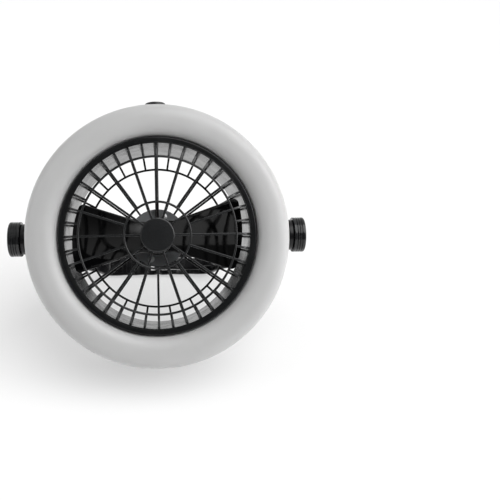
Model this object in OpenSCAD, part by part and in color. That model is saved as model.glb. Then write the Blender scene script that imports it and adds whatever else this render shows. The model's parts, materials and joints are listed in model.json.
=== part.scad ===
// Portable camping fan with a ring light, a swinging handle and a folding hook.
// It stands tilted back on the rim of its housing and on the grip of its handle.
//
// The fan is drawn in its own frame: X to the right as seen from the front, Y towards
// the switch, Z along the fan's axis towards the front, with Z = 0 at the back face.
// stand() tips that frame back and sets it on the floor, and on_handle() does the same
// for the handle, whose own frame has X to the right, Y from pivot to grip, Z across.

/* [Housing] */
// Outer radius of the housing at the seam
body_r = 95; // [93:0.5:100]
// How much smaller the housing's radius is at its back face
back_taper = 1.4; // [1.1:0.1:3]
// Depth of the rear cover, from its back face to the seam
rear_depth = 30.5; // [29:0.5:33]
// Depth of the front housing, from the seam to the light ring
front_depth = 16.5; // [14:0.5:20]
// Wall of the covers
wall = 2.4; // [2:0.1:2.6]
// Rounding of the back edge
edge_r = 2.4; // [1:0.2:3]
// Bevel on each side of the seam
seam_bevel = 0.5; // [0.2:0.1:0.8]
// Width of the two slanted flats on the back face, in their middle
flat_w = 13.1; // [9.5:0.1:14.5]
// Depth of a slanted flat at the outside of the wall
flat_depth = 2.2; // [1:0.1:3]
// Angle from the switch to the middle of a flat
flat_angle = 61; // [55:1:64]

/* [Cover screws] */
// Distance from the housing's outside to the cover screws
screw_inset = 12; // [11:0.5:14]
// Angle of the first cover screw
screw_angle = 70; // [66:1:72]
// Radius of a cover screw
screw_r = 1.45; // [1.2:0.05:1.6]
// Radius of a screw's head
screw_head_r = 2.7; // [2.4:0.1:3]

/* [Air duct] */
// Wall of the duct
duct_wall = 2; // [1.4:0.1:2.2]
// Width of the duct's flange, which frames the front grille
flange_w = 4.6; // [3.6:0.1:5]
// Thickness of the duct's flange
flange_t = 2.5; // [1.5:0.1:4]

/* [Ring light] */
// Width of the ring light
light_w = 24.2; // [23.5:0.1:26]
// Height of the diffuser above the front housing
light_depth = 15; // [12:0.5:18]
// Wall of the diffuser
diffuser_t = 1.8; // [1.2:0.1:2.4]
// How far the flange lies below the top of the diffuser
flange_recess = 4; // [2:0.5:6]
// Number of light-emitting diodes
led_count = 18; // [12:1:24]
// Radius of one diode
led_r = 2.5; // [1.5:0.1:3]
// Thickness of the diode board
led_board_t = 1.6; // [1:0.1:2]

/* [Grilles] */
// Number of long spokes
spokes = 20; // [16:2:24]
// Width of a spoke
rib_w = 1.6; // [1.2:0.1:2]
// Depth of a spoke
rib_depth = 2.2; // [1.6:0.1:2.6]
// Width of the front grille's shoulder, from the duct to its large ring
front_shoulder_w = 10.5; // [9:0.5:14]
// Radius of the small ring of the front grille
small_ring_r = 23.4; // [20:0.2:28]
// Height of the front grille's large ring above its rim
front_ring_rise = 9.5; // [7:0.5:11]
// Height of the front grille's middle above its rim
front_hub_rise = 11; // [10:0.5:13]
// Width of the rear grille's shoulder, from the duct to its large ring
rear_shoulder_w = 11.5; // [10:0.5:16]
// Height of the rear grille's large ring above its rim
rear_ring_rise = 4.5; // [3:0.5:5]
// Height of the rear grille's middle above its rim
rear_hub_rise = 8; // [6:0.5:9]
// Radius of the rear grille's middle disc
rear_disc_r = 23; // [21:0.5:26]
// Radius of the cap in the middle of the front grille
hub_cap_r = 12.1; // [10:0.1:14]
// Thickness of that cap
hub_cap_t = 2.4; // [1.5:0.1:4]

/* [Fan] */
// Number of blades
blade_count = 2; // [2:1:4]
// Gap between the blade tips and the duct
tip_gap = 2.8; // [2.6:0.1:6]
// Half of a blade's width at its root, seen from the front
root_half_w = 11.5; // [8:0.5:12]
// Half of a blade's width near its tip, seen from the front
tip_half_w = 25.5; // [20:0.5:27]
// Rounding of a blade's outer corners
blade_corner_r = 8; // [3:0.5:9]
// Thickness of a blade
blade_t = 1.6; // [1.2:0.1:2.4]
// Slope of a blade against the plane of rotation
blade_pitch = 24; // [16:1:26]
// Radius of a blade's hollow
blade_camber_r = 70; // [55:1:120]
// Distance from the back face to the middle of the rotor
rotor_z = 35; // [34.5:0.1:36]
// Radius of the rotor's hub
rotor_hub_r = 12.5; // [11:0.1:13.5]
// Depth of the rotor's hub
rotor_hub_h = 15; // [13:0.5:15]
// Radius of the motor shaft
shaft_r = 1; // [0.8:0.05:1.5]
// Radius of the motor
motor_r = 12; // [10:0.5:12.5]
// Length of the motor
motor_len = 24; // [22:0.5:24]
// Thickness of the plate that carries the motor
motor_plate_t = 1.5; // [1:0.1:2]
// Wall of the motor's sleeve
sleeve_t = 1.9; // [1.4:0.1:2.4]
// Length of the motor's sleeve
sleeve_len = 20; // [14:1:21]
// Distance of the two motor screws from the axis
motor_screw_at = 17.5; // [16.5:0.1:19]

/* [Switch] */
// Radius of the round rocker
rocker_r = 7.6; // [6.5:0.1:8]
// Height of the rocker above the housing
rocker_rise = 6; // [4.4:0.2:8]
// Distance from the seam forward to the middle of the switch
switch_past_seam = 1.5; // [0:0.5:2.5]
// Wall of the collar round the rocker
collar_t = 1; // [0.8:0.1:1.4]
// Width of the switch inside the housing
switch_w = 14; // [10:0.5:16]
// Height of the switch inside the housing
switch_h = 11; // [8:0.5:12]
// Width of the circuit board
circuit_w = 34; // [20:1:40]
// Height of the circuit board
circuit_h = 20; // [12:1:22]

/* [Handle] */
// Distance from the pivot to the middle of the grip's strap
handle_len = 112; // [110:1:120]
// Width of the strap
strap_w = 20; // [18:0.5:22]
// Thickness of the strap
strap_t = 3.8; // [3:0.1:4.5]
// Half of the straight length of the grip
grip_half = 41; // [38:1:44]
// Length of one wave of the grip
wave_len = 15.5; // [12:0.5:16.5]
// Height of the waves, from middle to crest
wave_h = 0.9; // [0.3:0.1:1.2]
// Slope of the neck below the grip
neck_slope = 72; // [66:1:78]
// Length of the neck
neck_len = 12; // [8:1:14]
// Slope of the long arm
arm_slope = 53; // [50:0.5:54]
// Bend radius between grip and neck
shoulder_r = 8; // [6:0.5:11]
// Bend radius between neck and arm
elbow_r = 18; // [12:1:24]
// Bend radius between arm and pivot
hip_r = 15; // [10:1:20]
// Distance from the seam back to the pivots
pivot_to_seam = 7.5; // [7.5:0.5:9.5]
// Radius of the eye at each end of the strap
eye_r = 11.5; // [9:0.5:13]

/* [Knobs] */
// Radius of the flange between housing and strap
knob_flange_r = 14.2; // [12:0.2:16]
// Thickness of that flange in its middle
knob_flange_t = 3; // [2:0.2:5]
// Radius of the outer cap
cap_r = 13.2; // [12:0.2:15]
// Length of the outer cap
cap_len = 8.7; // [7.5:0.1:12]
// Radius of the stub that the strap turns on
stub_r = 5; // [4:0.1:6]
// Thickness of the friction washer
washer_t = 0.6; // [0.4:0.1:1]

/* [Hook] */
// Reach of the hook, from its pin to the outside of its curl
hook_reach = 56; // [54:1:62]
// Width of the hook
hook_w = 10.6; // [8:0.2:11]
// Thickness of the hook
hook_t = 3.5; // [3:0.1:4]
// Inner radius of the hook's curl
hook_throat_r = 7; // [6:0.5:8]
// How far the shank leans out of the strap at the curl
hook_lean = 2.4; // [1:0.2:2.6]
// Angle that the curl turns through
hook_turn = 195; // [180:5:205]
// Length of the straight tip
hook_tip = 4; // [2:0.5:5]
// Radius of the hook's pin
pin_r = 1.8; // [1.5:0.1:2]
// Radius of the boss round the pin
pin_boss_r = 3.4; // [3.2:0.1:4]
// Width of the slot that the hook folds into
slot_w = 11.6; // [11.4:0.1:13]

/* [Batteries] */
// Radius of one cell
cell_r = 7.25; // [6.5:0.05:7.25]
// Length of one cell
cell_len = 50.5; // [48:0.5:50.5]
// Angle of the middle of the battery bay
bay_angle = -110; // [-112:0.5:-108]
// Height of the battery door
door_h = 25; // [20:0.5:25]
// Half of the angle that the battery door spans
door_half_angle = 40; // [36:0.5:42]

/* [Stand] */
// Tilt of the fan as it stands on its handle
tilt = 35; // [28:0.5:38]

/* [Hidden] */
$fn = 96;

black = "#26272a";
dark = "#1b1c1e";
white = "#e4e6e6";
steel = "#a7a9ac";

far = 200;          // longer than any cut
touch = 0.1;        // gap between faces that slide on each other
fit = 0.15;         // gap round pieces that are put together
running = 0.05;     // gap between a shaft and its bore
sink = 0.5;         // how deep ribs and bosses run into what carries them

back_r = body_r - back_taper;
draft = back_taper / rear_depth;
flat_r = back_r - flat_w;
screw_circle_r = body_r - screw_inset;
bead_in_r = body_r - light_w;
flange_out_r = bead_in_r - 0.2;
duct_r = flange_out_r - flange_w;
duct_out_r = duct_r + duct_wall;
seat_depth = duct_wall / 2;  // how deep the rims of the grilles are let into the duct
front_ring_r = duct_r - front_shoulder_w;
rear_ring_r = duct_r - rear_shoulder_w;
tip_r = duct_r - tip_gap;
housing_depth = rear_depth + front_depth;
front_z = housing_depth + light_depth;
flange_z = front_z - flange_recess;
switch_z = rear_depth + switch_past_seam;
pivot_z = rear_depth - pivot_to_seam;

// Points on an arc round centre, from angle a0 to a1, in n steps.
function arc(centre, r, a0, a1, n) =
    [for (i = [0:n]) centre + r * [cos(a0 + (a1 - a0) * i / n), sin(a0 + (a1 - a0) * i / n)]];

// ---------------------------------------------------------------- housing

// Radius of the housing's outside at height z above the back face.
function outside_r(z) = z < rear_depth ? back_r + draft * z : body_r;

// Solid outline of the rear cover, shrunk by inset on every outer side.
module rear_form(inset) {
    round_r = max(edge_r - inset, 0.2);
    foot_r = outside_r(inset + round_r) - inset;
    difference() {
        rotate_extrude()
            polygon(concat(
                [[0, inset]],
                arc([foot_r - round_r, inset + round_r], round_r, -90, 0, 6),
                [
                    [outside_r(rear_depth) - draft * seam_bevel - inset, rear_depth - seam_bevel],
                    [body_r - inset - seam_bevel, rear_depth],
                    [0, rear_depth]
                ]
            ));
        for (side = [0, 1]) mirror([side, 0, 0]) flat_cut(inset);
    }
}

// What the slanted flat on the right-hand side takes away.
module flat_cut(inset) {
    slope = atan(flat_depth / flat_w);
    rotate([0, 0, 90 - flat_angle])
        translate([flat_r, 0, 0])
            rotate([0, -slope, 0])
                translate([-far / 2, -far / 2, inset - far])
                    cube([far, far, far]);
}

// The rear cover's hollow, open at the seam.
module rear_hollow() {
    intersection() {
        rear_form(wall);
        translate([0, 0, wall]) cylinder(r = body_r, h = rear_depth);
    }
    translate([0, 0, rear_depth - seam_bevel - 0.2])
        cylinder(r = body_r - wall, h = far);
}

// Places children at each cover screw.
module at_cover_screws() {
    for (i = [0:2])
        rotate([0, 0, screw_angle + 120 * i])
            translate([screw_circle_r, 0, 0])
                children();
}

// Places children at the switch, with Z pointing out of the housing.
module at_switch(height) {
    translate([0, height, switch_z]) rotate([-90, 0, 0]) children();
}

// Places children at a pivot, with Z pointing out: side is 1 on the right, -1 on the left.
module at_pivot(side) {
    translate([0, 0, pivot_z]) rotate([0, 90 * side, 0]) children();
}

screw_seat = 4;
column_r = screw_head_r + 1.6;
collar_r = rocker_r + 0.7 + collar_t;

module rear_cover() {
    color(black)
    difference() {
        union() {
            difference() {
                rear_form(0);
                rear_hollow();
            }
            intersection() {
                at_cover_screws() cylinder(r = column_r, h = rear_depth);
                rear_form(0);
            }
        }
        translate([0, 0, -far / 2]) cylinder(r = duct_r, h = far);
        at_cover_screws() {
            translate([0, 0, -1]) cylinder(r = screw_head_r + 0.3, h = screw_seat + 1);
            cylinder(r = screw_r + 0.2, h = far);
        }
        at_switch(duct_out_r + 10) cylinder(r = collar_r + fit, h = far);
        for (side = [-1, 1]) at_pivot(side) cylinder(r = spigot_r + fit, h = far);
        door_wedge(0);
    }
}

module front_housing() {
    deck_z = housing_depth - wall;
    column_h = deck_z - rear_depth - touch;
    color(black)
    difference() {
        union() {
            rotate_extrude()
                polygon([
                    [body_r - wall, rear_depth], [body_r - seam_bevel, rear_depth],
                    [body_r, rear_depth + seam_bevel], [body_r, housing_depth - seam_bevel],
                    [body_r - seam_bevel, housing_depth], [duct_out_r + fit, housing_depth],
                    [duct_out_r + fit, deck_z], [body_r - wall, deck_z]
                ]);
            at_cover_screws()
                translate([0, 0, rear_depth + touch]) cylinder(r = column_r, h = column_h + sink);
        }
        at_cover_screws()
            translate([0, 0, rear_depth]) cylinder(r = screw_r + running, h = column_h - 1);
        at_switch(duct_out_r + 10) cylinder(r = collar_r + fit, h = far);
    }
}

module cover_screws() {
    reach = housing_depth - wall - 3;
    color(steel)
    at_cover_screws() {
        difference() {
            translate([0, 0, screw_seat - 2]) cylinder(r = screw_head_r, h = 2);
            translate([-0.4, -far / 2, screw_seat - 3]) cube([0.8, far, 1.6]);
        }
        translate([0, 0, screw_seat - sink]) cylinder(r = screw_r, h = reach - screw_seat);
    }
}

module air_duct() {
    seat_r = duct_r + seat_depth;
    front_seat_z = front_rim_z - rim_h / 2 - touch;
    rear_seat_z = rear_rim_z + rim_h / 2 + touch;
    color(black)
    difference() {
        rotate_extrude()
            polygon([
                [seat_r, wall], [duct_out_r, wall], [duct_out_r, flange_z - flange_t],
                [flange_out_r, flange_z - flange_t], [flange_out_r, flange_z - 0.6],
                [flange_out_r - 0.6, flange_z], [seat_r, flange_z],
                [seat_r, front_seat_z], [duct_r, front_seat_z],
                [duct_r, rear_seat_z], [seat_r, rear_seat_z]
            ]);
        translate([0, 0, lead_z]) rotate([-90, 0, 0]) cylinder(r = 2.4, h = far);
    }
}

// ---------------------------------------------------------------- ring light

bead_mid_r = (bead_in_r + body_r) / 2;
bead_half_w = (body_r - bead_in_r) / 2;
bead_foot = 3;
bead_h = light_depth - bead_foot;
bead_power = 2.5;

// A rounded bead: |x / w|^p + |y / h|^p = 1, from the outer foot over to the inner one.
function bead(w, h, n) = [
    for (i = [0:n])
        let (a = 180 * i / n)
        [
            bead_mid_r + w * sign(cos(a)) * pow(abs(cos(a)), 2 / bead_power),
            housing_depth + bead_foot + h * pow(abs(sin(a)), 2 / bead_power)
        ]
];

bead_points = bead(bead_half_w, bead_h, 36);

module diffuser() {
    color(white)
    rotate_extrude()
        difference() {
            polygon(concat(
                [[body_r - 0.3, housing_depth]],
                bead_points,
                [[bead_in_r + 0.1, housing_depth]]
            ));
            polygon(concat(
                [[body_r - diffuser_t, housing_depth - 1]],
                bead(bead_half_w - diffuser_t, bead_h - diffuser_t, 24),
                [[bead_in_r + diffuser_t, housing_depth - 1]]
            ));
        }
}

board_in_r = bead_in_r + diffuser_t + 0.6;
board_out_r = body_r - diffuser_t - 1.2;
led_circle_r = (board_in_r + board_out_r) / 2;
board_top = housing_depth + led_board_t;

module at_leds() {
    for (i = [0:led_count - 1])
        rotate([0, 0, 360 * (i + 0.5) / led_count])
            translate([led_circle_r, 0, 0])
                children();
}

module led_board() {
    color("#2f6b46")
    translate([0, 0, housing_depth])
        difference() {
            cylinder(r = board_out_r, h = led_board_t);
            translate([0, 0, -1]) cylinder(r = board_in_r, h = led_board_t + 2);
        }
}

module reflector() {
    lip = 3;
    color("white")
    difference() {
        translate([0, 0, board_top])
            rotate_extrude()
                polygon([
                    [board_in_r, 0], [board_out_r, 0], [board_out_r, lip],
                    [board_out_r - 1, lip], [board_out_r - 2, 0.8],
                    [board_in_r + 2, 0.8], [board_in_r + 1, lip], [board_in_r, lip]
                ]);
        at_leds() translate([0, 0, board_top - 1]) cylinder(r = led_r + fit, h = 4);
    }
}

module leds() {
    color("#f6f1dc")
    at_leds() {
        translate([0, 0, board_top]) cylinder(r = led_r, h = led_r);
        translate([0, 0, board_top + led_r]) sphere(r = led_r);
    }
}

// ---------------------------------------------------------------- grilles

rim_out_r = duct_r + seat_depth - fit;
rim_w = seat_depth - fit;
rim_h = 3;
front_rim_z = flange_z - rim_h;
rear_rim_z = wall + touch + rim_h / 2;

// Height of a domed grille above its rim: a shallow bowl up to the large ring, then a
// quarter of an ellipse down to the rim. drop lowers the surface by a rib's depth.
function rise(r, ring_r, ring_rise, hub_rise, drop) =
    r <= ring_r
        ? hub_rise - (hub_rise - ring_rise) * pow(r / ring_r, 2) - drop
        : (ring_rise - drop)
            * sqrt(max(0, 1 - pow((r - ring_r) / (rim_out_r - sink - drop - ring_r), 2)));

// Outline of one spoke from in_r to the rim, in the plane of the fan's axis.
function spoke_outline(in_r, ring_r, ring_rise, hub_rise) =
    let (
        bowl = [for (k = [0:2]) in_r + (ring_r - in_r) * k / 3],
        shoulder = [for (a = [90:-15:0]) cos(a)],
        top_w = rim_out_r - sink - ring_r,
        low_w = top_w - rib_depth
    )
    concat(
        [for (r = bowl) [r, rise(r, ring_r, ring_rise, hub_rise, 0)]],
        [for (c = shoulder) [
            ring_r + top_w * c, rise(ring_r + top_w * c, ring_r, ring_rise, hub_rise, 0)]],
        [for (k = [0:len(shoulder) - 1])
            let (c = shoulder[len(shoulder) - 1 - k])
            [ring_r + low_w * c,
                rise(ring_r + low_w * c, ring_r, ring_rise, hub_rise, rib_depth)]],
        [for (k = [0:2])
            let (r = bowl[2 - k])
            [r, rise(r, ring_r, ring_rise, hub_rise, rib_depth)]]
    );

// Ribs from in_r to the rim, the first one towards the switch.
module ribs(count, first, in_r, ring_r, ring_rise, hub_rise) {
    for (i = [0:count - 1])
        rotate([0, 0, 90 + first + 360 * i / count])
            rotate([90, 0, 0])
                translate([0, 0, -rib_w / 2])
                    linear_extrude(rib_w)
                        polygon(spoke_outline(in_r, ring_r, ring_rise, hub_rise));
}

// A hoop of the grille, a little proud of the ribs.
module hoop(r, z) {
    rotate_extrude()
        translate([r - rib_w / 2, z - rib_depth - 0.1]) square([rib_w, rib_depth + 0.3]);
}

// The rim that the ribs end in, up to the height top. Its inside is flush with the duct.
module rim(top) {
    translate([0, 0, -rim_h / 2])
        difference() {
            cylinder(r = rim_out_r, h = top + rim_h / 2);
            translate([0, 0, -1]) cylinder(r = rim_out_r - rim_w, h = top + rim_h + 2);
        }
}

module front_grille() {
    hub_z = rise(0, front_ring_r, front_ring_rise, front_hub_rise, 0);
    small_ring_z = rise(small_ring_r, front_ring_r, front_ring_rise, front_hub_rise, 0);
    color(black)
    translate([0, 0, front_rim_z]) {
        rim(rim_h - 0.2);
        ribs(spokes, 0, small_ring_r, front_ring_r, front_ring_rise, front_hub_rise);
        ribs(spokes, 180 / spokes, front_ring_r, front_ring_r, front_ring_rise, front_hub_rise);
        intersection() {
            ribs(spokes / 2, 360 / spokes, hub_cap_r - 4,
                front_ring_r, front_ring_rise, front_hub_rise);
            cylinder(r = small_ring_r, h = far);
        }
        hoop(front_ring_r, front_ring_rise);
        hoop(small_ring_r, small_ring_z);
        translate([0, 0, hub_z - rib_depth]) cylinder(r = hub_cap_r - 1.5, h = rib_depth);
    }
}

module hub_cap() {
    hub_z = front_rim_z + rise(0, front_ring_r, front_ring_rise, front_hub_rise, 0);
    color(dark)
    translate([0, 0, hub_z])
        rotate_extrude()
            polygon(concat(
                [[0, 0], [hub_cap_r, 0]],
                arc([hub_cap_r - 1, hub_cap_t - 1], 1, 0, 90, 5),
                [[0, hub_cap_t + 0.3]]
            ));
}

channel_w = 2.6;
channel_in = rear_disc_r - 0.4;
lead_r = 0.7;
lead_z = rear_rim_z + rim_h / 2 + lead_r + touch;

module rear_grille() {
    disc_z = rise(rear_disc_r, rear_ring_r, rear_ring_rise, rear_hub_rise, 0);
    channel_top = rear_rim_z + rim_h / 2;
    color(black)
    difference() {
        union() {
            translate([0, 0, rear_rim_z]) mirror([0, 0, 1]) {
                rim(rim_h / 2);
                ribs(spokes, 0, rear_disc_r - 1, rear_ring_r, rear_ring_rise, rear_hub_rise);
                ribs(spokes, 180 / spokes, rear_ring_r, rear_ring_r, rear_ring_rise,
                    rear_hub_rise);
                hoop(rear_ring_r, rear_ring_rise);
                rotate_extrude()
                    polygon(concat(
                        [[0, disc_z - rib_depth], [rear_disc_r, disc_z - rib_depth]],
                        arc([rear_disc_r - 1, disc_z - 1], 1, 0, 90, 5),
                        [[0, disc_z]]
                    ));
            }
            translate([-channel_w / 2, channel_in, plate_z])
                cube([channel_w, duct_r - fit - channel_in, channel_top - plate_z]);
        }
        at_motor_screws() translate([0, 0, -far / 2]) cylinder(r = screw_r + 0.2, h = far);
    }
}

// ---------------------------------------------------------------- motor and rotor

// Front face of the rear grille's disc, which carries the motor plate.
plate_z = rear_rim_z + rib_depth
    - rise(rear_disc_r, rear_ring_r, rear_ring_rise, rear_hub_rise, 0);
motor_z = plate_z + motor_plate_t;

module at_motor_screws() {
    for (a = [72, 252])
        rotate([0, 0, a]) translate([motor_screw_at, 0, 0]) children();
}

module motor_plate() {
    color("#6d6f72")
    difference() {
        translate([0, 0, plate_z]) cylinder(r = rear_disc_r - 0.5, h = motor_plate_t);
        at_motor_screws() translate([0, 0, -far / 2]) cylinder(r = screw_r + 0.2, h = far);
    }
}

module motor_screws() {
    color(steel)
    at_motor_screws() {
        translate([0, 0, motor_z]) cylinder(r = screw_head_r, h = 1.6);
        translate([0, 0, plate_z - rib_depth + 0.4])
            cylinder(r = screw_r, h = motor_plate_t + rib_depth);
    }
}

module motor_sleeve() {
    color(black)
    translate([0, 0, motor_z])
        difference() {
            cylinder(r = motor_r + sleeve_t, h = sleeve_len);
            translate([0, 0, -1]) cylinder(r = motor_r + touch, h = sleeve_len + 2);
            translate([-channel_w / 2 - 0.3, 0, -1]) cube([channel_w + 0.6, far, lead_z + 2]);
        }
}

module motor() {
    color(steel)
    translate([0, 0, motor_z])
        difference() {
            union() {
                cylinder(r = motor_r, h = motor_len - 1.5);
                cylinder(r = shaft_r + 3, h = motor_len);
            }
            translate([0, 0, 10]) cylinder(r = shaft_r + running, h = motor_len);
        }
}

module motor_leads() {
    color("#8c1f1c")
    for (side = [-1, 1])
        translate([side * (lead_r + 0.05), motor_r + 0.2, lead_z])
            rotate([-90, 0, 0])
                cylinder(r = lead_r, h = switch_low - 0.3 - motor_r);
}

module motor_shaft() {
    color(steel)
    translate([0, 0, motor_z + 10.5])
        cylinder(r = shaft_r, h = rotor_z + rotor_hub_h / 2 - 3 - motor_z - 10.5);
}

// Outline of a blade seen from the front, its root on the hub.
module blade_outline() {
    c = blade_corner_r;
    out_x = sqrt(tip_r * tip_r - tip_half_w * tip_half_w);
    intersection() {
        circle(r = tip_r, $fn = 180);
        polygon(concat(
            [[0, -root_half_w], [rotor_hub_r, -root_half_w]],
            arc([out_x - c / 2, c - tip_half_w], c, -80, -10, 7),
            [[tip_r + 1, -tip_half_w / 2], [tip_r + 1, tip_half_w / 2]],
            arc([out_x - c / 2, tip_half_w - c], c, 10, 80, 7),
            [[rotor_hub_r, root_half_w], [0, root_half_w]]
        ));
    }
}

// A blade along X: a slice of a tube, so that it is hollow, sloped by its pitch.
module blade() {
    intersection() {
        rotate([blade_pitch, 0, 0])
            translate([0, 0, blade_camber_r])
                rotate([0, 90, 0])
                    difference() {
                        cylinder(r = blade_camber_r + blade_t / 2, h = far, $fn = 180);
                        translate([0, 0, -1])
                            cylinder(r = blade_camber_r - blade_t / 2, h = far + 2, $fn = 180);
                    }
        translate([0, 0, -20])
            linear_extrude(40) blade_outline();
    }
}

module fan_rotor() {
    h = rotor_hub_h;
    color(dark)
    translate([0, 0, rotor_z]) {
        difference() {
            union() {
                rotate_extrude()
                    polygon(concat(
                        [[0, -h / 2], [rotor_hub_r, -h / 2]],
                        arc([rotor_hub_r - 2, h / 2 - 2], 2, 0, 90, 6),
                        [[0, h / 2]]
                    ));
                for (i = [0:blade_count - 1]) rotate([0, 0, 360 * i / blade_count]) blade();
            }
            translate([0, 0, -h / 2 - 1])
                difference() {
                    cylinder(r = rotor_hub_r - 2, h = h - 2);
                    translate([0, 0, -1]) cylinder(r = shaft_r + 2.2, h = h);
                }
            translate([0, 0, -h / 2 - 1]) cylinder(r = shaft_r + 0.02, h = h - 1.5);
        }
    }
}

// ---------------------------------------------------------------- switch and electronics

rocker_axis = body_r - 1;
axle_r = 1;
cup_depth = 6;
collar_top = body_r + 1.4;
switch_low = rocker_axis - cup_depth - switch_h;

module circuit_board() {
    color("#2f6b46")
    rotate([0, 0, 120])
        translate([duct_out_r + 0.3, -circuit_w / 2, housing_depth - wall - 11.6 - circuit_h])
            cube([1.6, circuit_w, circuit_h]);
}

module switch_body() {
    color(dark)
    at_switch(switch_low)
        translate([-switch_w / 2, -switch_w / 2, 0]) cube([switch_w, switch_w, switch_h]);
}

module switch_collar() {
    color(dark)
    at_switch(rocker_axis - cup_depth)
        difference() {
            cylinder(r = collar_r, h = collar_top - rocker_axis + cup_depth);
            translate([0, 0, 1.5]) cylinder(r = collar_r - collar_t, h = far);
            translate([0, 0, cup_depth])
                rotate([0, 90, 0])
                    translate([0, 0, -far / 2]) cylinder(r = axle_r + running, h = far, $fn = 48);
        }
}

module switch_rocker() {
    top = rocker_rise + body_r - rocker_axis;
    skirt = 2;
    edge = 0.8;
    crown = 1;
    color(dark)
    at_switch(rocker_axis) {
        rotate_extrude()
            polygon(concat(
                [[0, -skirt], [rocker_r, -skirt]],
                arc([rocker_r - edge, top - crown - edge], edge, 0, 60, 5),
                [[rocker_r / 2, top - 0.3], [0, top]]
            ));
        rotate([0, 90, 0])
            translate([0, 0, touch - collar_r])
                cylinder(r = axle_r, h = 2 * (collar_r - touch), $fn = 48);
    }
}

// ---------------------------------------------------------------- batteries

tray_wall = 1.5;
tray_floor = 1;
pocket_r = cell_r + 0.1;
contact_t = 0.5;
spring_h = 3;
tray_in = duct_out_r + 0.3;
cell_at = tray_in + 1.2 + pocket_r;
tray_out = cell_at + 5;
tray_half = (cell_len + 2 * contact_t + spring_h) / 2 + tray_wall;
cell_turn = atan(tray_half / tray_in) + 0.5;
layer_gap = 2 * pocket_r + tray_floor;
tray_z = wall + touch;

// Places children in each battery pocket, with X along the cell and Z along the axis.
module at_cells() {
    for (side = [-1, 1])
        for (layer = [0, 1])
            rotate([0, 0, bay_angle + side * cell_turn])
                translate([cell_at, 0, tray_z + tray_floor + pocket_r + layer * layer_gap])
                    rotate([0, 0, layer == 0 ? 90 : -90])
                        children();
}

module battery_tray() {
    color(dark)
    difference() {
        for (side = [-1, 1])
            rotate([0, 0, bay_angle + side * cell_turn])
                translate([tray_in, -tray_half, tray_z])
                    cube([tray_out - tray_in, 2 * tray_half, 2 * layer_gap + tray_floor]);
        at_cells()
            translate([tray_wall - tray_half, 0, 0]) {
                rotate([0, 90, 0]) cylinder(r = pocket_r, h = 2 * (tray_half - tray_wall));
            }
        for (side = [-1, 1])
            for (layer = [0, 1])
                rotate([0, 0, bay_angle + side * cell_turn])
                    translate([cell_at, tray_wall - tray_half,
                            tray_z + tray_floor + layer * layer_gap])
                        cube([far, 2 * (tray_half - tray_wall), 2 * pocket_r]);
    }
}

module battery_cells() {
    nub = 1.2;
    color("#b8935a")
    at_cells()
        translate([tray_wall + contact_t + spring_h - tray_half + touch, 0, 0])
            rotate([0, 90, 0]) {
                cylinder(r = cell_r, h = cell_len - nub);
                cylinder(r = 2.6, h = cell_len - 2 * touch);
            }
}

module battery_contacts() {
    color(steel)
    at_cells() {
        translate([tray_wall - tray_half, -4.5, -4.5]) cube([contact_t, 9, 9]);
        translate([tray_wall - tray_half + contact_t - touch, 0, 0])
            rotate([0, 90, 0])
                rotate_extrude()
                    polygon([[2.2, 0], [4.2, 0], [3, spring_h], [1.6, spring_h]]);
        translate([tray_half - tray_wall - contact_t, -4.5, -4.5]) cube([contact_t, 9, 9]);
    }
}

door_z = edge_r + 1.2;

// The sector of the side wall that the battery door fills, shrunk by gap.
module door_wedge(gap) {
    a = door_half_angle - gap * 57.3 / back_r;
    in = duct_out_r + 3;
    rotate([0, 0, bay_angle])
        translate([0, 0, door_z + gap])
            linear_extrude(door_h - 2 * gap)
                polygon([
                    in * [cos(a), sin(a)], far * [cos(a), sin(a)], [far, 0],
                    far * [cos(a), -sin(a)], in * [cos(a), -sin(a)]
                ]);
}

module battery_door() {
    color(black)
    intersection() {
        difference() {
            rear_form(0);
            rear_hollow();
        }
        door_wedge(0.2);
    }
}

// ---------------------------------------------------------------- knobs

spigot_r = 5.5;
flange_x = body_r + knob_flange_t;
strap_in = flange_x + washer_t + touch;
strap_x = strap_in + strap_t / 2;
strap_out = strap_in + strap_t;
stub_x = strap_out + touch;
bolt_head_t = 2;
bolt_head_r = stub_r + 2.5;

// The housing without its flats, a touch larger, which the knob flanges sit on.
module saddle_form() {
    translate([0, 0, -touch])
        rotate_extrude()
            polygon([
                [0, 0], [back_r + running, 0], [body_r + running, rear_depth],
                [body_r + running, housing_depth], [0, housing_depth]
            ]);
}

// A flange whose inner face follows the housing, with the stub that the strap turns on
// and a spigot that reaches through the wall.
module knob_flange(side) {
    spigot_in = body_r - wall - 5;
    edge = 0.6;
    color(black)
    difference() {
        at_pivot(side) {
            translate([0, 0, spigot_in])
                rotate_extrude()
                    polygon([
                        [0, 0], [knob_flange_r, 0], [knob_flange_r, flange_x - spigot_in - edge],
                        [knob_flange_r - edge, flange_x - spigot_in], [0, flange_x - spigot_in]
                    ]);
            translate([0, 0, flange_x - sink]) cylinder(r = stub_r, h = stub_x - flange_x + sink);
        }
        difference() {
            saddle_form();
            at_pivot(side) cylinder(r = spigot_r, h = far);
        }
        at_pivot(side) translate([0, 0, spigot_in + 2]) cylinder(r = screw_r + running, h = far);
    }
}

module friction_washers() {
    color(dark)
    for (side = [-1, 1])
        at_pivot(side)
            translate([0, 0, flange_x])
                difference() {
                    cylinder(r = eye_r - 0.5, h = washer_t);
                    translate([0, 0, -1]) cylinder(r = stub_r + fit, h = washer_t + 2);
                }
}

module pivot_screws() {
    color(steel)
    for (side = [-1, 1])
        at_pivot(side) {
            translate([0, 0, stub_x]) cylinder(r = bolt_head_r, h = bolt_head_t);
            translate([0, 0, stub_x - 12]) cylinder(r = screw_r, h = 12 + sink);
        }
}

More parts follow.
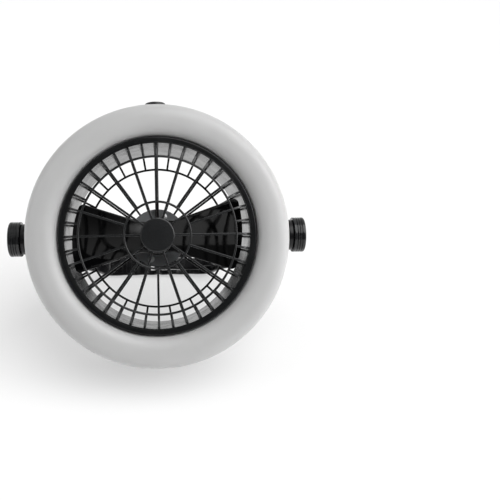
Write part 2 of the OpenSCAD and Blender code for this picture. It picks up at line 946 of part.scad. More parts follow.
// The outer cap with its finger grooves, clipped to the strap's eye.
module knob_cap(side) {
    groove = 0.7;
    edge = 1.5;
    color(black)
    on_handle()
        rotate([0, 90 * side, 0])
            translate([0, 0, strap_out])
                rotate_extrude()
                    polygon(concat(
                        [[bolt_head_r + 1, 0], [cap_r, 0]],
                        [for (k = [1:3])
                            for (p = [[0, 0], [groove, 0.25], [groove, 0.85], [0, 1.1]])
                                [cap_r - p[0], cap_len * k / 5 + p[1]]],
                        arc([cap_r - edge, cap_len - edge], edge, 0, 90, 5),
                        [
                            [0, cap_len], [0, bolt_head_t + 1.2],
                            [bolt_head_r + 1, bolt_head_t + 1.2]
                        ]
                    ));
}

// ---------------------------------------------------------------- handle

wave_start = 6;
wave_end = wave_start + 2 * wave_len;

// Height of the grip's middle line at distance x from its centre.
function grip_y(x) =
    x < wave_start || x > wave_end
        ? handle_len
        : handle_len - wave_h * (1 - cos(360 * (x - wave_start) / wave_len));

// Distance from the pivots to the hook's pin, whose boss bulges inwards only.
pin_y = handle_len + strap_t / 2 - pin_boss_r;

// Length of the straight arm that makes the strap end exactly above its pivot.
arm_len = (strap_x - grip_half - shoulder_r * sin(neck_slope) - neck_len * cos(neck_slope)
    - elbow_r * (sin(neck_slope) - sin(arm_slope)) - hip_r * (1 - sin(arm_slope)))
    / cos(arm_slope);

shoulder_c = [grip_half, handle_len - shoulder_r];
neck_top = shoulder_c + shoulder_r * [sin(neck_slope), cos(neck_slope)];
neck_end = neck_top + neck_len * [cos(neck_slope), -sin(neck_slope)];
elbow_c = neck_end + elbow_r * [sin(neck_slope), cos(neck_slope)];
arm_top = elbow_c - elbow_r * [sin(arm_slope), cos(arm_slope)];
arm_end = arm_top + arm_len * [cos(arm_slope), -sin(arm_slope)];
hip_c = arm_end - hip_r * [sin(arm_slope), cos(arm_slope)];

// One edge of the right half of the strap, off away from its middle line.
function strap_edge(off) = concat(
    [for (x = [0:wave_len / 8:wave_end + 0.01])
        let (
            s = x < wave_start ? 0
                : -wave_h * 360 / wave_len * PI / 180 * sin(360 * (x - wave_start) / wave_len)
        )
        [x, grip_y(x)] + off * [-s, 1] / sqrt(1 + s * s)],
    arc(shoulder_c, shoulder_r + off, 90, 90 - neck_slope, 6),
    arc(elbow_c, elbow_r - off, 270 - neck_slope, 270 - arm_slope, 4),
    arc(hip_c, hip_r + off, 90 - arm_slope, 0, 5),
    [[strap_x + off, 0]]
);

// The right half of the strap, in the handle's own frame.
module half_strap() {
    outer = strap_edge(strap_t / 2);
    inner = strap_edge(-strap_t / 2);
    translate([0, 0, -strap_w / 2])
        linear_extrude(strap_w)
            polygon(concat(outer, [for (i = [len(inner) - 1:-1:0]) inner[i]]));
}

slot_start = pin_boss_r + 3.3;
slot_end_y = handle_len - hook_throat_r * 2 - 2 * hook_t - 4;

module handle() {
    color(black)
    on_handle()
        difference() {
            union() {
                half_strap();
                mirror([1, 0, 0]) half_strap();
                translate([0, pin_y, -strap_w / 2]) cylinder(r = pin_boss_r, h = strap_w);
                for (side = [-1, 1])
                    rotate([0, 90 * side, 0])
                        translate([0, 0, strap_in]) cylinder(r = eye_r, h = strap_t);
            }
            translate([-slot_start, slot_end_y, -slot_w / 2])
                cube([far, far, slot_w]);
            translate([0, pin_y, -far / 2]) cylinder(r = pin_r + 0.02, h = far);
            for (side = [-1, 1])
                rotate([0, 90 * side, 0])
                    translate([0, 0, strap_in - 1]) cylinder(r = stub_r + running, h = strap_t + 2);
        }
}

module hook_pin() {
    color(steel)
    on_handle()
        translate([0, pin_y, -strap_w / 2 - 0.6]) cylinder(r = pin_r, h = strap_w + 1.2);
}

// ---------------------------------------------------------------- hook

curl_r = hook_throat_r + hook_t / 2;
curl_x = hook_reach - curl_r - hook_t / 2;
lean_start = wave_start + wave_len;

// Height of the shank's middle line: the grip's waves, then a gentle lean outwards.
function shank_y(x) =
    let (u = min(1, max(0, (x - lean_start) / (curl_x - lean_start))))
    (x > lean_start ? handle_len : grip_y(x)) + hook_lean * u * u * (3 - 2 * u);

// One edge of the folded hook, off away from its middle line: the shank, the curl, the tip.
function hook_edge(off) =
    let (
        end = 90 - hook_turn,
        centre = [curl_x, handle_len + hook_lean - curl_r],
        shank = [for (k = [0:19])
            let (
                x = curl_x * k / 20,
                s = (shank_y(x + 0.01) - shank_y(x - 0.01)) / 0.02
            )
            [x, shank_y(x)] + off * [-s, 1] / sqrt(1 + s * s)],
        curl = arc(centre, curl_r + off, 90, end, 26)
    )
    concat(shank, curl, [curl[26] + hook_tip * [sin(end), -cos(end)]]);

module hook() {
    outer = hook_edge(hook_t / 2);
    inner = hook_edge(-hook_t / 2);
    color(black)
    on_handle()
        difference() {
            translate([0, 0, -hook_w / 2]) {
                linear_extrude(hook_w)
                    polygon(concat(outer, [for (i = [len(inner) - 1:-1:0]) inner[i]]));
                translate([0, pin_y, 0]) cylinder(r = pin_boss_r, h = hook_w);
            }
            translate([0, pin_y, -far / 2]) cylinder(r = pin_r + running, h = far);
        }
}

// ---------------------------------------------------------------- standing pose

// Height of the pivots above the floor, from the rounded back edge that the fan rests on.
rest_r = back_r + draft * edge_r - edge_r;
floor_drop = rest_r * cos(tilt) - edge_r * sin(tilt) + edge_r;
pivot_height = floor_drop + pivot_z * sin(tilt);
// Slope of the handle below the horizontal that brings the grip's lower edge to the floor.
grip_out = handle_len + strap_t / 2;
handle_slope = asin(pivot_height / norm([grip_out, strap_w / 2]))
    - atan(strap_w / 2 / grip_out);
handle_drop = handle_slope - tilt;
// Depth of the whole fan, for an origin below its middle.
front_reach = max([for (p = bead_points) p[0] * sin(tilt) + p[1] * cos(tilt)]);
back_reach = grip_out * cos(handle_slope) + strap_w / 2 * sin(handle_slope)
    - pivot_z * cos(tilt);
y_shift = (front_reach - back_reach) / 2;

module stand() {
    translate([0, y_shift, floor_drop]) rotate([90 - tilt, 0, 0]) children();
}

module on_handle() {
    translate([0, 0, pivot_z]) rotate([-90 - handle_drop, 0, 0]) children();
}

stand() {
    rear_cover();
    front_housing();
    air_duct();
    rear_grille();
    front_grille();
    hub_cap();
    diffuser();
    reflector();
    led_board();
    leds();
    motor_plate();
    motor_sleeve();
    motor();
    motor_screws();
    motor_leads();
    motor_shaft();
    fan_rotor();
    cover_screws();
    circuit_board();
    switch_collar();
    switch_body();
    switch_rocker();
    battery_tray();
    battery_cells();
    battery_contacts();
    battery_door();
    knob_flange(-1);  // left_knob_flange
    knob_flange(1);  // right_knob_flange
    friction_washers();
    pivot_screws();
    handle();
    knob_cap(-1);  // left_knob_cap
    knob_cap(1);  // right_knob_cap
    hook_pin();
    hook();
}
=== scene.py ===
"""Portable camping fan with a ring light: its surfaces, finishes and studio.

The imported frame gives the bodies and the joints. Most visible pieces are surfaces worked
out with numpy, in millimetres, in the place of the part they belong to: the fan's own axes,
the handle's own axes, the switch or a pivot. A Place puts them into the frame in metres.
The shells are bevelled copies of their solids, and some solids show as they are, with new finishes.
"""

import json
import logging
from dataclasses import dataclass, field
from enum import Enum
from math import atan2, cos, pi, radians, sin, sqrt
from typing import Any

import bmesh
import bpy
import numpy as np
from mathutils import Matrix, Vector


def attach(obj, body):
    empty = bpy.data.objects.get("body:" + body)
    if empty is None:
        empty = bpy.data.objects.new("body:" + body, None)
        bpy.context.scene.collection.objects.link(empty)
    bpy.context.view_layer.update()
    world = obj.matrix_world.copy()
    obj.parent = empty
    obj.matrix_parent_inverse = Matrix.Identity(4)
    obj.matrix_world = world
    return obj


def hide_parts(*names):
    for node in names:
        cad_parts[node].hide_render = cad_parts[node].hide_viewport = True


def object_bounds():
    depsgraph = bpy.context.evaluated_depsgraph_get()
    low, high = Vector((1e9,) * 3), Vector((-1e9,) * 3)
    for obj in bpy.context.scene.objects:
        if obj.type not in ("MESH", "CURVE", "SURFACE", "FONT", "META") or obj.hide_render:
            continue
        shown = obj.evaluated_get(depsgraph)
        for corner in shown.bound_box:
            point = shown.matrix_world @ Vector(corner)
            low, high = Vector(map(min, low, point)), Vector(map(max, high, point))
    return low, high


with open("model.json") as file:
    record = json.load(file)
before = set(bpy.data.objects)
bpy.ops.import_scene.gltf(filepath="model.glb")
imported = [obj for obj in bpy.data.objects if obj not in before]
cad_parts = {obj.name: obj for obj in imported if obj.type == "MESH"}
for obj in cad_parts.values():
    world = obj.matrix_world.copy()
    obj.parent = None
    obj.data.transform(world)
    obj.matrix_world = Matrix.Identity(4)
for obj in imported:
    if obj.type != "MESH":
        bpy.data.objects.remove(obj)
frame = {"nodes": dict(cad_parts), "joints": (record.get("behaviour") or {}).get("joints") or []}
CAD_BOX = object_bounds()

Array = np.ndarray
Tree = bpy.types.NodeTree
MM = 0.001
WELD_M = 2e-6  # points nearer to each other than this are one
ARC_SHARE, LEAD_SHARE = 0.42, 0.48  # of an outline's side, for a corner's arc and its lead
WHITE = (1.0, 1.0, 1.0, 1.0)
log = logging.getLogger("camping_fan")


# --- places ---


@dataclass(frozen=True)
class Place:
    """Axes in the frame: an origin in metres, and three unit directions as rows."""

    origin: Array
    axes: Array

    def put(self, points: Array) -> Array:
        """Frame position in metres, origin + x px + y py + z pz, of points in mm."""
        return self.origin + MM * (points @ self.axes)

    def moved(self, *offset: float) -> "Place":
        """The same directions from an origin moved by mm along them."""
        return Place(self.put(np.array([offset]))[0], self.axes)

    def turned(self, *amounts: tuple) -> "Place":
        """The same origin with directions given as amounts of the present ones."""
        return Place(self.origin, np.array(amounts) @ self.axes)


def joint_place(pivot: str, along: str) -> Place:
    """Axes at a joint: X to the right, Z along a joint's axis and Y square to both.

    Args:
        pivot: name of the joint at the origin.
        along: name of the joint that gives Z.

    Returns:
        The axes, in the frame's metres.
    """
    joints = {entry["name"]: entry for entry in frame["joints"]}
    x, z = np.array([1.0, 0.0, 0.0]), np.array(joints[along]["axis"], float)
    return Place(np.array(joints[pivot]["pos_m"], float), np.stack([x, np.cross(z, x), z]))


# --- surfaces ---


@dataclass(frozen=True)
class Patch:
    """A surface: points in mm, and faces as rows of four point numbers."""

    points: Array
    faces: Array

    def moved(self, x: float, y: float, z: float, scale: Any = 1) -> "Patch":
        """The surface scaled along its axes and then moved."""
        return Patch(self.points * scale + [x, y, z], self.faces)


def rays(a: Array) -> Array:
    """Directions (cos a, sin a)."""
    return np.stack([np.cos(a), np.sin(a)], -1)


def lengths(line: Array) -> Array:
    """Length along a line up to each of its points."""
    return np.concatenate([[0], np.cumsum(np.linalg.norm(np.diff(line, axis=0), axis=1))])


def normals(slope: Array) -> Array:
    """Unit directions square to a line of a given slope, towards +Y."""
    return np.stack([-slope, np.ones_like(slope)], -1) / np.sqrt(1 + slope[:, None] ** 2)


def sampled(line: Array, s: Array, at: Array) -> Array:
    """Flat values given at s along a line, read at other places."""
    return np.stack([np.interp(at, s, line[:, k]) for k in (0, 1)], -1)


def grid_faces(rows: int, cols: int, close_rows: bool, close_cols: bool) -> Array:
    """Faces of a grid of points stored row by row.

    Args:
        rows, cols: number of rows, and of points in a row.
        close_rows, close_cols: whether the last row or column joins the first.

    Returns:
        (n, 4) array: each point with its neighbours in the next column, row and both.
    """
    r0, c0 = np.meshgrid(np.arange(rows if close_rows else rows - 1),
                         np.arange(cols if close_cols else cols - 1), indexing="ij")
    r1, c1 = (r0 + 1) % rows, (c0 + 1) % cols
    corners = [r0 * cols + c0, r0 * cols + c1, r1 * cols + c1, r1 * cols + c0]
    return np.stack(corners, -1).reshape(-1, 4)


def joined(*patches: Patch) -> Patch:
    """Several surfaces as one, each with its own points.

    Args:
        patches: the surfaces.

    Returns:
        One surface; each part's point numbers follow on from the part before.
    """
    starts = np.cumsum([0] + [len(p.points) for p in patches[:-1]])
    return Patch(np.concatenate([p.points for p in patches]),
                 np.concatenate([p.faces + s for p, s in zip(patches, starts)]))


def round_axis(patch: Patch, count: int, first: float = 0.0) -> Patch:
    """Copies of a surface spread evenly about Z, x' = x cos a - y sin a and so on.

    Args:
        patch: the surface.
        count: number of copies.
        first: angle of the first copy, in degrees.

    Returns:
        All the copies as one surface.
    """
    a = radians(first) + 2 * pi * np.arange(count)[:, None] / count
    x, y, z = patch.points.T
    turned = np.stack([x * np.cos(a) - y * np.sin(a), x * np.sin(a) + y * np.cos(a),
                       np.broadcast_to(z, (count, len(z)))], -1)
    shift = np.arange(count)[:, None, None] * len(patch.points)
    return Patch(turned.reshape(-1, 3), (patch.faces[None] + shift).reshape(-1, 4))


def rounded(corners: Any, radii: Any, steps: int = 5, open_ends: bool = False,
            support: float = 0.2) -> Array:
    """An outline with its corners rounded.

    Each corner becomes an arc that touches both its sides. Its centre lies on the line that
    halves the corner, radius / sin(half angle) from it, and its points turn evenly. One more
    point on each side, a little back from the arc, keeps the flat beside it flat to the eye.

    Args:
        corners: (n, 2) corner positions in mm, in order.
        radii: one radius, or one for each corner; cut down where a side is too short.
        steps: number of pieces of each arc.
        open_ends: leaves the first and last corner as they are, for an open outline.
        support: distance of the supporting points from the arc in mm.

    Returns:
        (m, 2) outline.
    """
    p = np.asarray(corners, float)
    before, after = np.roll(p, 1, 0) - p, np.roll(p, -1, 0) - p
    reach_before = np.linalg.norm(before, axis=1, keepdims=True)
    reach_after = np.linalg.norm(after, axis=1, keepdims=True)
    u, w = before / reach_before, after / reach_after
    half = 0.5 * np.arccos(np.clip((u * w).sum(1, keepdims=True), -0.9999, 0.9999))
    room = ARC_SHARE * np.minimum(reach_before, reach_after)
    wanted = np.broadcast_to(np.asarray(radii, float), (len(p),))[:, None]
    reach = np.minimum(wanted / np.tan(half), room)
    radius = reach * np.tan(half)
    centre = p + (u + w) / np.linalg.norm(u + w, axis=1, keepdims=True) * radius / np.sin(half)
    turn = (pi - 2 * half)[:, None]
    s = np.linspace(0, 1, steps + 1)[None, :, None]
    arcs = centre[:, None] + (np.sin((1 - s) * turn) * (p + u * reach - centre)[:, None]
                              + np.sin(s * turn) * (p + w * reach - centre)[:, None]) / np.sin(turn)
    lead = p + u * np.minimum(reach + support, LEAD_SHARE * reach_before)
    trail = p + w * np.minimum(reach + support, LEAD_SHARE * reach_after)
    rows = np.concatenate([lead[:, None], arcs, trail[:, None]], 1)
    if open_ends:
        return np.concatenate([p[:1], rows[1:-1].reshape(-1, 2), p[-1:]])
    return rows.reshape(-1, 2)


def slab(width: float, depth: float, radius: float, steps: int = 4) -> Array:
    """Outline of a bar's cross-section, centred: a rectangle with rounded corners."""
    w, d = width / 2, depth / 2
    return rounded([[-w, -d], [w, -d], [w, d], [-w, d]], radius, steps)


def lathe(profile: Array, steps: int, closed: bool) -> Patch:
    """A profile turned about Z.

    Args:
        profile: (n, 2) distances from the axis and heights in mm.
        steps: number of steps round the axis.
        closed: whether the profile is a loop; an open one begins and ends on the axis.

    Returns:
        A surface of points (r cos a, r sin a, z).
    """
    a = 2 * pi * np.arange(steps) / steps
    r, z = profile[:, :1], profile[:, 1:]
    points = np.stack([r * np.cos(a), r * np.sin(a), z + 0 * a], -1)
    return Patch(points.reshape(-1, 3), grid_faces(len(profile), steps, closed, True))


def disc(r: float, low: float, top: float, radii: Any, steps: int) -> Patch:
    """A solid disc about Z between two heights, with its rim rounded."""
    outline = rounded([[0, low], [r, low], [r, top], [0, top]], radii, open_ends=True)
    return lathe(outline, steps, False)


def tube(inner: float, outer: float, low: float, top: float, radii: Any, steps: int,
         arc: int = 5) -> Patch:
    """A ring about Z between two radii and two heights, with its four rims rounded."""
    outline = rounded([[inner, low], [outer, low], [outer, top], [inner, top]], radii, arc)
    return lathe(outline, steps, True)


def sweep(path: Array, across: Array, through: Array, section: Array) -> Patch:
    """A cross-section carried along a path, with both ends closed.

    Args:
        path: (n, 3) middle points in mm.
        across, through: (n, 3) directions of the section's two coordinates, to scale.
        section: (m, 2) outline of the section.

    Returns:
        Points path + a * across + b * through; a row shrunk to the middle closes each end.
    """
    a, b = section[None, :, :1], section[None, :, 1:]
    body = path[:, None] + a * across[:, None] + b * through[:, None]
    first = np.broadcast_to(body[0].mean(0), body[:1].shape)
    last = np.broadcast_to(body[-1].mean(0), body[:1].shape)
    rows = np.concatenate([first, body, last])
    return Patch(rows.reshape(-1, 3), grid_faces(len(rows), len(section), False, True))


def screw_head(radius: float, height: float, slot: float) -> Patch:
    """A low domed screw head with a cross in it, standing on Z = 0.

    The top's height is a quarter ellipse over r, down to 0.68 of the height at the rim, less
    0.45 of the height inside the two bars of the cross, with a soft step at their border. A
    bar is 1.24 radii long.

    Args:
        radius: head radius in mm.
        height: height of the head in mm.
        slot: width of a bar of the cross in mm.

    Returns:
        The head's surface.
    """
    steps, soft = 96, 0.12
    arc = np.linspace(0, pi / 2, 40)
    r = np.concatenate([radius * np.sin(arc), [radius, radius - 0.01, 0.0]])
    z = np.concatenate([height * (0.68 + 0.32 * np.cos(arc)), [0.05, 0.0, 0.0]])
    head = lathe(np.stack([r, z], -1), steps, False)
    x, y = np.abs(head.points[:, :2].T)
    bars = [np.clip((slot / 2 - u) / soft + 0.5, 0, 1)
            * np.clip((0.62 * radius - v) / soft + 0.5, 0, 1) for u, v in ((x, y), (y, x))]
    top = np.arange(len(x)) < len(arc) * steps
    head.points[:, 2] -= 0.45 * height * np.maximum(*bars) * top
    return head


# --- pieces ---


def shown(name: str, data: Any, at: Any = (0, 0, 0), look: Any = None) -> bpy.types.Object:
    """Adds an object to the scene.

    Args:
        name, data: the object's name, and its mesh, light or camera.
        at: where its origin is.
        look: the direction of its -Z, if it isn't the frame's.

    Returns:
        The object.
    """
    obj = bpy.data.objects.new(name, data)
    obj.location = at
    if look is not None:
        obj.rotation_euler = look.to_track_quat("-Z", "Y").to_euler()
    bpy.context.scene.collection.objects.link(obj)
    return obj


def weld(mesh: bpy.types.Mesh) -> None:
    """Closes a mesh's seams and poles, and turns its faces outwards.

    Args:
        mesh: the mesh, changed where it is.
    """
    work = bmesh.new()
    work.from_mesh(mesh)
    bmesh.ops.remove_doubles(work, verts=work.verts, dist=WELD_M)
    bmesh.ops.recalc_face_normals(work, faces=work.faces)
    work.to_mesh(mesh)
    work.free()


def finished(name: str, mesh: bpy.types.Mesh, kit: "Kit", body: str, node: str,
             sharp: float = 34.0) -> bpy.types.Object:
    """Welds and shades a mesh, gives it its finish and hangs it on its body.

    Args:
        name: the piece's name.
        mesh: its mesh, in the frame's metres.
        kit: what it is made of.
        body: the frame's body that carries it.
        node: name of the solid that it stands for.
        sharp: angle in degrees above which an edge stays sharp.

    Returns:
        The piece.
    """
    weld(mesh)
    mesh.polygons.foreach_set("use_smooth", np.ones(len(mesh.polygons), bool))
    mesh.set_sharp_from_angle(angle=radians(sharp))
    mesh.materials.clear()
    mesh.materials.append(kit.value.material())
    obj = shown(name, mesh)
    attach(obj, body)
    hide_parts(node)
    log.info("%s: %d faces, %s, on %s", name, len(mesh.polygons), kit.value.name, body)
    return obj


def eased_copy(node: str, name: str, kit: "Kit", body: str, edge_mm: float,
               sharp: float = 30.0) -> bpy.types.Object:
    """A solid's own shape with smooth curves, and its edges broken by a fine bevel.

    Args:
        node, name, kit, body, sharp: as in finished.
        edge_mm: width of the bevel on each sharp edge.

    Returns:
        The piece, with its bevel as a modifier.
    """
    obj = finished(name, frame["nodes"][node].data.copy(), kit, body, node, sharp)
    bevel = obj.modifiers.new("broken edges", "BEVEL")
    for key, value in {"width": edge_mm * MM, "segments": 2, "limit_method": "ANGLE",
                       "angle_limit": radians(sharp), "harden_normals": True,
                       "use_clamp_overlap": True}.items():
        setattr(bevel, key, value)
    return obj


def read(items: Any, name: str, width: int = 1) -> Array:
    """One property of all a mesh's points, corners or faces.

    Args:
        items: the points, corners or faces.
        name: the property's name.
        width: how many numbers each of them has.

    Returns:
        (n, width) array.
    """
    values = np.empty(len(items) * width, np.float32)
    items.foreach_get(name, values)
    return values.reshape(-1, width).astype(float)


def true_round(obj: bpy.types.Object, place: Place, wall_r: float) -> None:
    """Shades a shell's outer wall as the exact cone that its flat faces stand for.

    A face is wall if it lies beyond wall_r and looks outwards. A corner beside the wall
    whose own normal is near the cone's takes the cone's: straight out from the axis, with
    the wall faces' mean slope along it.

    Args:
        obj: the finished shell.
        place: the axes that it is round in.
        wall_r: distance from the axis in mm.
    """
    looks_out, near_cone = cos(radians(8)), cos(radians(12))
    mesh = bpy.data.meshes.new_from_object(
        obj.evaluated_get(bpy.context.evaluated_depsgraph_get()))
    obj.modifiers.clear()
    obj.data = mesh
    turn = place.axes.T
    at = (read(mesh.vertices, "co", 3) - place.origin) / MM @ turn
    r = np.hypot(at[:, 0], at[:, 1])
    out = at[:, :2] / r[:, None]
    corner = read(mesh.loops, "vertex_index")[:, 0].astype(int)
    own = read(mesh.corner_normals, "vector", 3) @ turn
    sides = read(mesh.polygons, "loop_total")[:, 0].astype(int)
    face = np.repeat(read(mesh.polygons, "normal", 3) @ turn, sides, axis=0)
    wall = (r[corner] > wall_r) & ((face[:, :2] * out[corner]).sum(-1) > looks_out)
    count = np.bincount(corner[wall], minlength=len(at))
    slope = np.bincount(corner[wall], face[wall, 2], len(at)) / np.maximum(count, 1)
    cone = np.column_stack([out * np.sqrt(1 - slope[:, None] ** 2), slope])[corner]
    near = (count[corner] > 0) & ((own * cone).sum(-1) > near_cone)
    mesh.normals_split_custom_set(
        (np.where(near[:, None], cone, own) @ place.axes).tolist())
    log.info("%s: %d corners of its wall shaded as a cone", obj.name, int(near.sum()))


def dress(**kits: "Kit") -> None:
    """Gives solids that show as they are their finishes.

    Args:
        kits: the finish of each solid, by its node's name.
    """
    for node, kit in kits.items():
        slots = frame["nodes"][node].data.materials
        if len(slots) == 0:
            slots.append(None)
        for i in range(len(slots)):
            slots[i] = kit.value.material()
        log.info("%s keeps its solid, %s", node, kit.value.name)


@dataclass
class Assembly:
    """Pieces given in one set of axes, most of them on one body."""

    place: Place
    body: str = "fan_housing"

    def add(self, name: str, patch: Patch, kit: "Kit", node: str,
            place: Place | None = None, body: str = "") -> None:
        """Makes a piece of a surface, at the origin, with its place in its mesh.

        Args:
            name: the piece's name.
            patch: its surface in mm.
            kit: what it is made of.
            node: name of the solid that it stands for.
            place: the axes that the surface is given in, if not the assembly's.
            body: the frame's body that carries it, if not the assembly's.
        """
        mesh = bpy.data.meshes.new(name)
        mesh.from_pydata((place or self.place).put(patch.points), [], patch.faces.tolist())
        finished(name, mesh, kit, body or self.body, node)


# --- finishes ---


def linear(code: str) -> tuple:
    """Turns an sRGB hex colour into linear RGBA.

    Args:
        code: six hex digits after a #.

    Returns:
        For each channel c: c / 12.92 up to 0.04045, else ((c + 0.055) / 1.055) ** 2.4.
    """
    c = np.array([int(code[i:i + 2], 16) for i in (1, 3, 5)]) / 255
    return (*np.where(c <= 0.04045, c / 12.92, ((c + 0.055) / 1.055) ** 2.4).tolist(), 1.0)


def add_node(tree: Tree, kind: str, inputs: dict | None = None,
             **settings: Any) -> bpy.types.Node:
    """Adds a node with its settings, and sets or links its inputs.

    Args:
        tree: the node tree.
        kind: the node's type, without ShaderNode.
        inputs: for each input, a value or the output that feeds it.
        settings: the node's own settings by name.

    Returns:
        The node.
    """
    node = tree.nodes.new("ShaderNode" + kind)
    for key, value in settings.items():
        setattr(node, key, value)
    for key, value in (inputs or {}).items():
        if isinstance(value, bpy.types.NodeSocket):
            tree.links.new(value, node.inputs[key])
        else:
            node.inputs[key].default_value = value
    return node


def ranged(tree: Tree, value: Any, low: float, high: float, to_low: float = 0.0,
           to_high: float = 1.0, kind: str = "LINEAR") -> Any:
    """A value carried from one range to another, and held at its ends.

    Args:
        tree: the node tree.
        value: the output that is carried over.
        low, high: the ends of its own range.
        to_low, to_high: the ends of the new one.
        kind: how it goes from one end to the other.

    Returns:
        The new value's output.
    """
    return add_node(tree, "MapRange", {
        "Value": value, "From Min": low, "From Max": high, "To Min": to_low,
        "To Max": to_high}, interpolation_type=kind).outputs[0]


def new_tree(owner: Any) -> Tree:
    """Empties the node tree of a material or a world.

    Args:
        owner: the material or world.

    Returns:
        Its tree.
    """
    owner.use_nodes = True
    owner.node_tree.nodes.clear()
    return owner.node_tree


@dataclass(frozen=True)
class Canvas:
    """A material's tree and its object coordinates, which all its patterns follow."""

    tree: Tree
    where: Any

    def noise(self, size_mm: float, detail: float = 2.0, where: Any = None) -> Any:
        """Noise over the surface.

        Args:
            size_mm: size of the lumps.
            detail: how many finer layers lie on them.
            where: the coordinates, if not the canvas's own.

        Returns:
            The noise's output.
        """
        where = self.where if where is None else where
        return add_node(self.tree, "TexNoise", {
            "Vector": where, "Scale": 1 / (size_mm * MM), "Detail": detail,
            "Roughness": 0.5}).outputs["Fac"]

    def mixed(self, factor: Any, first: str, second: str) -> Any:
        """Two colours mixed by a factor; 6 and 7 are the Mix node's colour inputs."""
        return add_node(self.tree, "Mix", {0: factor, 6: linear(first), 7: linear(second)},
                        data_type="RGBA").outputs[2]

    def bumped(self, height: Any, depth_mm: float) -> Any:
        """A relief of depth_mm from a height between 0 and 1."""
        return add_node(self.tree, "Bump", {
            "Height": height, "Distance": depth_mm * MM, "Strength": 1.0}).outputs[0]


@dataclass(frozen=True)
class Finish:
    """A surface finish: its name, a slot name of the record that is not used, and two colours.

    The colour drifts between the two over patch_mm, and the roughness by swing with it.
    """

    name: str
    slot: str
    colour: str
    drift: str
    roughness: float
    ior: float = 1.5
    metallic: float = 0.0
    patch_mm: float = 18.0
    swing: float = 0.05

    def material(self) -> bpy.types.Material:
        """The finish's material, made once.

        Returns:
            The material.
        """
        found = bpy.data.materials.get(self.name)
        if found:
            return found
        made = bpy.data.materials.new(self.name)
        tree = new_tree(made)
        on = Canvas(tree, add_node(tree, "TexCoord").outputs["Object"])
        shader = add_node(tree, "BsdfPrincipled", {
            "IOR": self.ior, "Metallic": self.metallic, "Base Color": self.colour_from(on),
            "Roughness": self.roughness_from(on), "Normal": self.relief(on)})
        self.extras(shader)
        add_node(tree, "OutputMaterial", {"Surface": shader.outputs[0]})
        return made

    def colour_from(self, on: Canvas) -> Any:
        """The colour: it drifts between the finish's two colours."""
        lumps = ranged(on.tree, on.noise(self.patch_mm, 3.0), 0.35, 0.65)
        return on.mixed(lumps, self.colour, self.drift)

    def roughness_from(self, on: Canvas) -> Any:
        """The roughness: it swings about its middle value over the surface."""
        return ranged(on.tree, on.noise(self.patch_mm * 0.6, 3.0), 0.3, 0.7,
                      max(self.roughness - self.swing, 0.02), self.roughness + self.swing)

    def relief(self, on: Canvas) -> Any:
        """The fine relief of the surface."""
        return on.bumped(on.noise(1.5), 0.002)

    def extras(self, shader: bpy.types.Node) -> None:
        """Settings of the shader that only some finishes have."""


@dataclass(frozen=True)
class MouldedPlastic(Finish):
    """Plastic from a polished or finely spark-eroded mould.

    A polished mould leaves a faint waviness about wave_mm long, which makes the reflections
    of straight lights run a little unevenly; a spark-eroded one leaves a grain.
    """

    wave_mm: float = 9.0
    wave_depth_mm: float = 0.006
    grain_mm: float = 0.7
    grain_depth_mm: float = 0.0008

    def relief(self, on: Canvas) -> Any:
        """Long waves, with a grain on them.

        Args:
            on: the material's canvas.

        Returns:
            The normal's output.
        """
        wave = on.bumped(on.noise(self.wave_mm, 1.0), self.wave_depth_mm)
        return add_node(on.tree, "Bump", {
            "Height": on.noise(self.grain_mm), "Distance": self.grain_depth_mm * MM,
            "Normal": wave}).outputs[0]


@dataclass(frozen=True)
class OpalAcrylic(MouldedPlastic):
    """Light-spreading white acrylic: satin, with light scattered just under its surface."""

    depth_mm: float = 5.0

    def extras(self, shader: bpy.types.Node) -> None:
        """Light enters the wall and leaves it nearby.

        Args:
            shader: the finish's main shader.
        """
        for name, value in (("Weight", 0.8), ("Radius", (1.0, 1.0, 1.0)),
                            ("Scale", self.depth_mm * MM)):
            shader.inputs[f"Subsurface {name}"].default_value = value


@dataclass(frozen=True)
class DrawnMetal(Finish):
    """Plated or drawn metal: noise stretched into fine lines along one direction."""

    metallic: float = 1.0
    line_mm: float = 0.3
    along: tuple = (0.04, 1.0, 1.0)
    line_depth_mm: float = 0.002

    def relief(self, on: Canvas) -> Any:
        """Lines drawn out along the metal."""
        drawn = add_node(on.tree, "Mapping", {"Vector": on.where, "Scale": self.along})
        return on.bumped(on.noise(self.line_mm, where=drawn.outputs[0]), self.line_depth_mm)


@dataclass(frozen=True)
class CircuitLaminate(Finish):
    """Glass-epoxy board under green lacquer, with tracks that show through it."""

    track_mm: float = 2.4

    def colour_from(self, on: Canvas) -> Any:
        """Straight-edged cells for the copper areas, lighter than the bare laminate.

        Args:
            on: the material's canvas.

        Returns:
            The colour's output.
        """
        cells = add_node(on.tree, "TexVoronoi", {
            "Vector": on.where, "Scale": 1 / (self.track_mm * MM), "Randomness": 0.35},
            distance="CHEBYCHEV", feature="F1").outputs["Distance"]
        return on.mixed(ranged(on.tree, cells, 0.42, 0.46), self.colour, self.drift)


@dataclass(frozen=True)
class BandedSleeve(Finish):
    """A cell's shrink sleeve: bands of two colours across its length."""

    band_mm: float = 60.0

    def colour_from(self, on: Canvas) -> Any:
        """Broad bands with a sharp border; the wave's own length is 0.314 at scale 1.

        Args:
            on: the material's canvas.

        Returns:
            The colour's output.
        """
        wave = add_node(on.tree, "TexWave", {
            "Vector": on.where, "Scale": 0.314 / (self.band_mm * MM)}, wave_type="BANDS",
            bands_direction="X").outputs["Fac"]
        return on.mixed(ranged(on.tree, wave, 0.6, 0.62), self.colour, self.drift)


